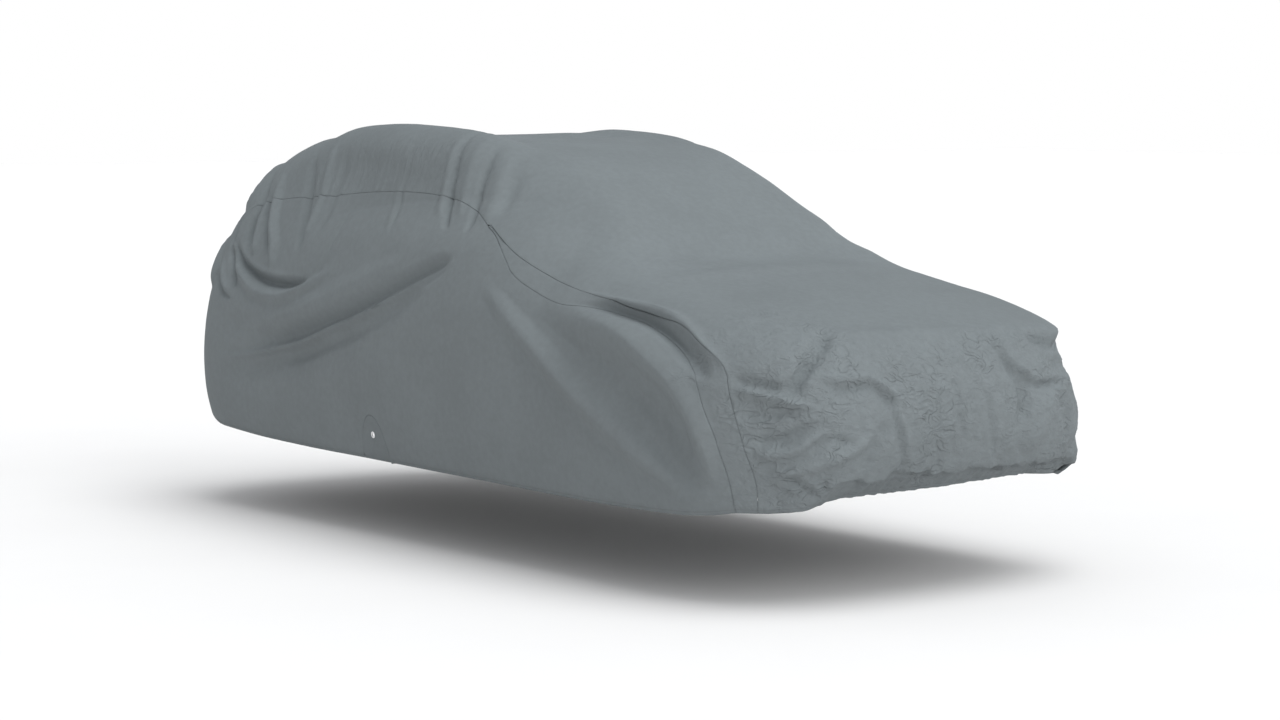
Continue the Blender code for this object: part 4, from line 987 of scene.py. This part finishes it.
def front_and_rear_gathers(off, run, end):
    """Gathers of the top panel's two hems: deep and close in front, shallow and wide behind. In front
    the cloth is also drawn in below an edge that gets lower to the left and steps up and down."""
    if end:
        return gathers(run, off, *REAR_GATHERS)
    strong = within(run, *DRAWN_RUN)
    edge = TUCK_TOP - TUCK_FALL * smoothstep((run - TUCK_FALL_FROM) / TUCK_FALL_OVER)
    edge = edge + TUCK_TEETH * lattice_noise(run / TUCK_PITCH, 0 * run, 79)
    drawn = strong * smoothstep((edge - off) / TUCK_EDGE + 0.5)
    rise = strong * (0.45 + 0.55 * smoothstep(off / 0.06))
    return rise * gathers(run, off, *FRONT_GATHERS) - TUCK_STEP * drawn


def roof_band(grid):
    """1 on the band between the roof seam and the roof's edge, where the cloth hangs in ripples."""
    return within(grid[..., 0], -1.15, -0.22, 0.12) * within(grid[..., 2], 1.44, 1.63, 0.05)


# ---- patches and eyelets

def eyelet_frame(side):
    """Centre of the eyelet on the cloth's outer face, and the unit vectors along, up and out of it."""
    centre = on_side(np.array([EYELET_X]), np.array([EYELET_HEIGHT]), side)
    out = outward(centre)[0]
    along = unit(np.cross([0.0, 0.0, 1.0], out))
    return centre[0] + out * drape(centre)[0], along, np.cross(out, along), out


def add_patch(name, side, node, material):
    """The arched patch: rings of points from the eyelet's hole out to the arch and the hem. The
    innermost rings lie in the plane of the eyelet's flanges."""
    arch = patch_arch()
    foot_x = np.linspace(arch[-1, 0], arch[0, 0], PATCH_FOOT_COLUMNS + 1)[1:-1]
    border = np.vstack([arch, np.stack([foot_x, hem_height(foot_x)], axis=1)])
    centre = np.array([EYELET_X, EYELET_HEIGHT])
    spoke = border - centre
    angle = math.atan2(spoke[0, 1], spoke[0, 0]) - 2 * math.pi * np.arange(len(border)) / len(border)
    ray = np.stack([np.cos(angle), np.sin(angle)], axis=1)
    rings = [centre + r * ray for r in np.linspace(HOLE_RADIUS, FLAT_RADIUS, FLAT_RINGS)]
    way = graded(PATCH_RINGS, PATCH_SPOKE, False, True)[1:, None, None]
    plane = np.concatenate([np.stack(rings), rings[-1] + (border - rings[-1]) * way])
    grid = on_side(plane[..., 0], plane[..., 1], side)
    is_foot = (np.arange(len(border)) > COLUMNS_PATCH).astype(float)
    draw_in(grid, *LAST_ROW, SEAM_GAP + SEAM_RADIUS * (1 - is_foot))
    normal = outward(grid)
    off, run = from_edge(grid, *LAST_ROW)
    height = drape(grid) + (1 - is_foot) * seam_relief(off, run, 83)
    tuck = HEM_TUCK * np.clip(1 - (grid[..., 2] - hem_height(grid[..., 0])) / HEM_TUCK_OVER, 0.0, 1.0) ** 2
    outer = grid + normal * (height - tuck)[..., None]
    middle, _, _, out = eyelet_frame(side)
    flatness = 1 - smoothstep((lengths(grid, 0) - (FLAT_RADIUS - HOLE_RADIUS)) / FLAT_FADE)[..., None]
    level = outer - ((outer - middle) * out).sum(axis=-1, keepdims=True) * out
    outer = outer * (1 - flatness) + level * flatness
    radius = SEAM_RADIUS + (HEM_RADIUS - SEAM_RADIUS) * is_foot
    outer = turn_edge(outer, *LAST_ROW, radius, math.pi * (0.5 + 0.5 * is_foot))
    marks = {"seam": off + is_foot * 0.1, "hem": 1.0 + 0 * off, "crumple": 0 * off, "ripple": 0 * off}
    marks = {mark: pad_edge(values, *LAST_ROW) for mark, values in marks.items()}
    uv = pad_edge(plane, *LAST_ROW)
    piece = add_piece(cloth_sheet(name, outer, marks, uv, closed=True), material, node)


def add_eyelet(name, side, node, material):
    """A pressed ring: a C-shaped profile, open outwards over the cloth's edge, spun about its axis.
    Its rolled faces are arcs of an ellipse from the bore to the rim."""
    barrel, face, back = HOLE_RADIUS - EYELET_GAP, EYELET_GAP, -CLOTH - EYELET_GAP
    roll = np.linspace(0.0, math.pi, ROLL_STEPS + 1)
    mid, half = 0.5 * (EYELET_BORE + EYELET_FLANGE), 0.5 * (EYELET_FLANGE - EYELET_BORE)
    outer_roll = np.stack([mid - half * np.cos(roll), face + EYELET_RIM * np.sin(roll) ** 0.7], axis=1)
    inner_roll = np.stack([mid + half * np.cos(roll), back - EYELET_RIM * np.sin(roll) ** 0.7], axis=1)
    profile = np.vstack([outer_roll, [(barrel, face), (barrel, back)], inner_roll])
    middle, along, up, out = eyelet_frame(side)
    turns = np.linspace(0.0, 2 * math.pi, RING_STEPS + 1)[:-1]
    radial = np.cos(turns)[:, None] * along + np.sin(turns)[:, None] * up
    rings = middle + profile[:, 0][:, None, None] * radial + profile[:, 1][:, None, None] * out
    rows, columns = rings.shape[:2]
    index = np.arange(rows * columns).reshape(rows, columns)
    a, b = index, np.roll(index, -1, axis=0)
    faces = np.stack([a, np.roll(a, -1, axis=1), np.roll(b, -1, axis=1), b], axis=-1).reshape(-1, 4)
    add_piece(mesh_from(name, rings.reshape(-1, 3), faces), material, node)


# ---- materials

class Wire:
    """A value carried by a socket. Its operators add Math nodes, so a material reads as sums."""

    def __init__(self, tree, socket):
        self.tree, self.socket = tree, socket

    def math(self, operation, *values):
        return add_node(self.tree, "ShaderNodeMath", {"operation": operation}, dict(enumerate(values)))

    def __add__(self, other):
        return self.math("ADD", self, other)

    def __sub__(self, other):
        return self.math("SUBTRACT", self, other)

    def __rsub__(self, other):
        return self.math("SUBTRACT", other, self)

    def __mul__(self, other):
        return self.math("MULTIPLY", self, other)

    def __pow__(self, other):
        return self.math("POWER", self, other)

    def __abs__(self):
        return self.math("ABSOLUTE", self)

    def fraction(self):
        return self.math("FRACT", self)

    __radd__ = __add__
    __rmul__ = __mul__


def add_node(tree, kind, settings, values, output=0):
    """Add a node: its settings are set first, then each socket gets its value or link."""
    node = tree.nodes.new(kind)
    for name, value in settings.items():
        setattr(node, name, value)
    for key, value in values.items():
        if isinstance(value, Wire):
            tree.links.new(value.socket, node.inputs[key])
        else:
            node.inputs[key].default_value = value
    return Wire(tree, node.outputs[output])


def new_material(name, roughness, specular=0.5, metallic=0.0):
    material = bpy.data.materials.new(name)
    material.use_nodes = True
    shader = material.node_tree.nodes["Principled BSDF"]
    shader.inputs["Roughness"].default_value = roughness
    shader.inputs["Specular IOR Level"].default_value = specular
    shader.inputs["Metallic"].default_value = metallic
    return material, material.node_tree, shader


def scaled(tree, vector, factors):
    return add_node(tree, "ShaderNodeVectorMath", {"operation": "MULTIPLY"}, {0: vector, 1: factors})


def noise(tree, vector, scale, detail=2.0, distortion=0.0):
    return add_node(tree, "ShaderNodeTexNoise", {},
                    {"Vector": vector, "Scale": scale, "Detail": detail, "Distortion": distortion})


def eased_ramp(tree, value, low, high):
    """0 at low and 1 at high, smooth between."""
    return add_node(tree, "ShaderNodeMapRange", {"interpolation_type": "SMOOTHSTEP"},
                    {"Value": value, "From Min": low, "From Max": high})


def mark(tree, name):
    return add_node(tree, "ShaderNodeAttribute", {"attribute_name": name}, {}, "Fac")


def mixed(tree, factor, dark, light):
    """Blend of two colours. The colour sockets of a Mix node are its inputs 6 and 7, and output 2."""
    return add_node(tree, "ShaderNodeMix", {"data_type": "RGBA"}, {0: factor, 6: dark, 7: light}, 2)


def cloth_material(name, dark, light):
    """Matt nonwoven cloth: bonded points in a staggered lattice over loose fibres, mottled, with painted
    shade that darkens it within a few millimetres of its seams, and finely crumpled where the marks say so."""
    material, tree, shader = new_material(name, 0.86, specular=0.12)
    place = add_node(tree, "ShaderNodeTexCoord", {}, {}, "Object")
    flat = add_node(tree, "ShaderNodeUVMap", {"uv_map": "cloth"}, {})
    seam, hem, crumple, ripple = (mark(tree, word) for word in ("seam", "hem", "crumple", "ripple"))

    turned = add_node(tree, "ShaderNodeMapping", {},
                      {"Vector": flat, "Rotation": (0.0, 0.0, math.radians(45))})
    cell = add_node(tree, "ShaderNodeTexVoronoi", {"voronoi_dimensions": "2D"},
                    {"Vector": turned, "Scale": 420.0, "Randomness": 0.12})
    bond = 1 - eased_ramp(tree, cell, 0.18, 0.38)
    fibre = noise(tree, scaled(tree, flat, (1500.0, 500.0, 1.0)), 1.0, 3.0)

    clouds = noise(tree, place, 2.6, 4.0)
    mottle = noise(tree, place, 38.0, 3.0)
    shade = 0.35 * clouds + 0.35 * mottle + 0.30 * fibre
    shade = eased_ramp(tree, shade, 0.36, 0.64)
    colour = mixed(tree, shade, dark, light)
    # Painted shade: the colour darkens towards a third of the dark tone within 3.5 mm of a seam.
    painted_seam_shade = 0.12 * (1 - eased_ramp(tree, seam, 0.0002, 0.0035))
    colour = mixed(tree, painted_seam_shade, colour, tuple(0.35 * c for c in dark[:3]) + (1.0,))
    stitch_band = eased_ramp(tree, abs(hem - STITCH_LINE), 0.0012, 0.0004)
    run = add_node(tree, "ShaderNodeSeparateXYZ", {}, {0: flat}, "X")
    stitch = stitch_band * eased_ramp(tree, (run * STITCHES_PER_METRE).fraction(), 0.20, 0.30)
    colour = mixed(tree, 0.5 * stitch, colour, tuple(0.5 * c for c in dark[:3]) + (1.0,))
    tree.links.new(colour.socket, shader.inputs["Base Color"])
    tree.links.new((0.80 + 0.14 * mottle).socket, shader.inputs["Roughness"])

    folded = noise(tree, scaled(tree, place, (14.0, 14.0, 19.0)), 1.0, 2.0, 0.6)
    finer = abs(2 * noise(tree, scaled(tree, place, (40.0, 34.0, 52.0)), 1.0, 1.0, 0.5) - 1)
    patchy = eased_ramp(tree, noise(tree, place, 4.0, 1.0), 0.40, 0.62)
    sharp = (1 - abs(2 * noise(tree, scaled(tree, place, (21.0, 19.0, 27.0)), 1.0, 1.0, 0.8) - 1)) ** 4
    creases = 0.0100 * folded - 0.0030 * finer + 0.0050 * patchy * sharp
    hanging = noise(tree, scaled(tree, place, (34.0, 3.0, 2.4)), 1.0, 2.0)
    relief = (crumple * 0.93 + 0.07) * creases + ripple * 0.010 * hanging
    relief = relief - 0.0006 * stitch
    crumpled = add_node(tree, "ShaderNodeBump", {}, {"Strength": 1.0, "Distance": 1.0, "Height": relief})
    grain = 0.00010 * fibre - 0.00014 * bond
    surface = add_node(tree, "ShaderNodeBump", {},
                       {"Strength": 1.0, "Distance": 1.0, "Height": grain, "Normal": crumpled})
    tree.links.new(surface.socket, shader.inputs["Normal"])
    return material


def metal_material():
    """Bright plated metal, with small dull spots that also stand out a little."""
    material, tree, shader = new_material("eyelet_metal", 0.25, metallic=1.0)
    place = add_node(tree, "ShaderNodeTexCoord", {}, {}, "Object")
    spots = noise(tree, place, 420.0, 3.0)
    dull = eased_ramp(tree, spots, 0.40, 0.70)
    colour = mixed(tree, dull, (0.78, 0.79, 0.80, 1.0), (0.60, 0.60, 0.60, 1.0))
    tree.links.new(colour.socket, shader.inputs["Base Color"])
    tree.links.new((0.16 + 0.22 * spots).socket, shader.inputs["Roughness"])
    relief = {"Strength": 1.0, "Distance": 1.0, "Height": 0.00004 * spots}
    tree.links.new(add_node(tree, "ShaderNodeBump", {}, relief).socket, shader.inputs["Normal"])
    return material


def floor_material():
    """Plain matt floor, faintly clouded."""
    material, tree, shader = new_material("pale_floor", 0.9, specular=0.2)
    place = add_node(tree, "ShaderNodeTexCoord", {}, {}, "Object")
    colour = mixed(tree, noise(tree, place, 1.5, 3.0), (0.83, 0.81, 0.80, 1.0), (0.85, 0.83, 0.82, 1.0))
    tree.links.new(colour.socket, shader.inputs["Base Color"])
    return material


# ---- camera, light and floor

CAMERA = np.array([10.586, -7.784, 1.908])
CAMERA_YAW = math.radians(143.115)
CAMERA_PITCH = math.radians(-5.051)
FOCAL_PIXELS = 3071.25
IMAGE_WIDTH = 1280
SENSOR_WIDTH = 36.0


def aim(thing, place, facing):
    """Put a camera or lamp at a place of the drawing, looking along a vector."""
    thing.location = np.asarray(place) - ORIGIN
    thing.rotation_mode = "QUATERNION"
    thing.rotation_quaternion = Vector(facing).to_track_quat("-Z", "Y")
    bpy.context.scene.collection.objects.link(thing)


def add_camera():
    data = bpy.data.cameras.new("camera")
    data.sensor_width = SENSOR_WIDTH
    data.lens = SENSOR_WIDTH * FOCAL_PIXELS / IMAGE_WIDTH
    data.clip_end = 200.0
    camera = bpy.data.objects.new("camera", data)
    level = math.cos(CAMERA_PITCH)
    facing = (level * math.cos(CAMERA_YAW), level * math.sin(CAMERA_YAW), math.sin(CAMERA_PITCH))
    aim(camera, CAMERA, facing)
    bpy.context.scene.camera = camera


# name, direction towards the lamp, strength in watts per square metre
LAMPS = (
    ("softbox_top", (0.30, 0.10, 1.00), 1.55),
    ("softbox_front", (1.00, 0.10, 0.45), 1.25),
)
LAMP_SPREAD = math.radians(50)      # wide lamps give soft shadows
LAMP_COLOUR = (0.975, 1.00, 1.01)
WALLS = (1.0, 1.0, 1.0, 1.0)        # white round the horizon
CEILING = (0.60, 0.62, 0.64, 1.0)   # and dimmer above
FLOOR_REACH = 60.0


def light_the_scene():
    world = bpy.data.worlds.new("studio")
    world.use_nodes = True
    tree = world.node_tree
    direction = add_node(tree, "ShaderNodeTexCoord", {}, {}, "Generated")
    height = add_node(tree, "ShaderNodeSeparateXYZ", {}, {0: direction}, "Z")
    room = mixed(tree, eased_ramp(tree, height, 0.06, 0.30), WALLS, CEILING)
    tree.links.new(room.socket, tree.nodes["Background"].inputs["Color"])
    bpy.context.scene.world = world
    bpy.context.scene.view_settings.view_transform = "Standard"
    for name, towards, strength in LAMPS:
        data = bpy.data.lights.new(name, "SUN")
        data.angle = LAMP_SPREAD
        data.energy = strength
        data.color = LAMP_COLOUR
        lamp = bpy.data.objects.new(name, data)
        aim(lamp, ORIGIN + 5.0 * np.array(towards), -np.array(towards))


def add_floor():
    corners = FLOOR_REACH * np.array([[-1, -1, 0], [1, -1, 0], [1, 1, 0], [-1, 1, 0]])
    mesh = mesh_from("floor", corners, np.array([[0, 1, 2, 3]]))
    mesh.materials.append(floor_material())
    floor = bpy.data.objects.new("floor", mesh)
    bpy.context.scene.collection.objects.link(floor)


# ---- the cover

def build():
    cloth = cloth_material("cover_cloth", (0.158, 0.175, 0.181, 1.0), (0.178, 0.198, 0.205, 1.0))
    doubled = cloth_material("patch_cloth", (0.152, 0.169, 0.175, 1.0), (0.171, 0.190, 0.197, 1.0))
    metal = metal_material()
    panel("cover_top", top_grid(), "top_panel", cloth,
          seams=(FIRST_COLUMN, LAST_COLUMN), hems=(FIRST_ROW, LAST_ROW),
          gather=front_and_rear_gathers, ripple=roof_band)
    for side, word in ((-1, "right"), (1, "left")):
        grid = side_grid(side)
        panel(f"cover_side_{word}", grid, f"side_panel_{word}", cloth,
              seams=(LAST_ROW, FIRST_COLUMN, LAST_COLUMN), hems=(FIRST_ROW,), arch=over_patch(grid))
        panel(f"cover_gusset_{word}", gusset_grid(side), f"front_gusset_{word}", cloth,
              seams=(FIRST_COLUMN, LAST_COLUMN), hems=(FIRST_ROW,))
        add_patch(f"cover_patch_{word}", side, f"eyelet_patch_{word}", doubled)
        add_eyelet(f"cover_eyelet_{word}", side, f"eyelet_{word}", metal)
    add_floor()
    light_the_scene()
    add_camera()


build()
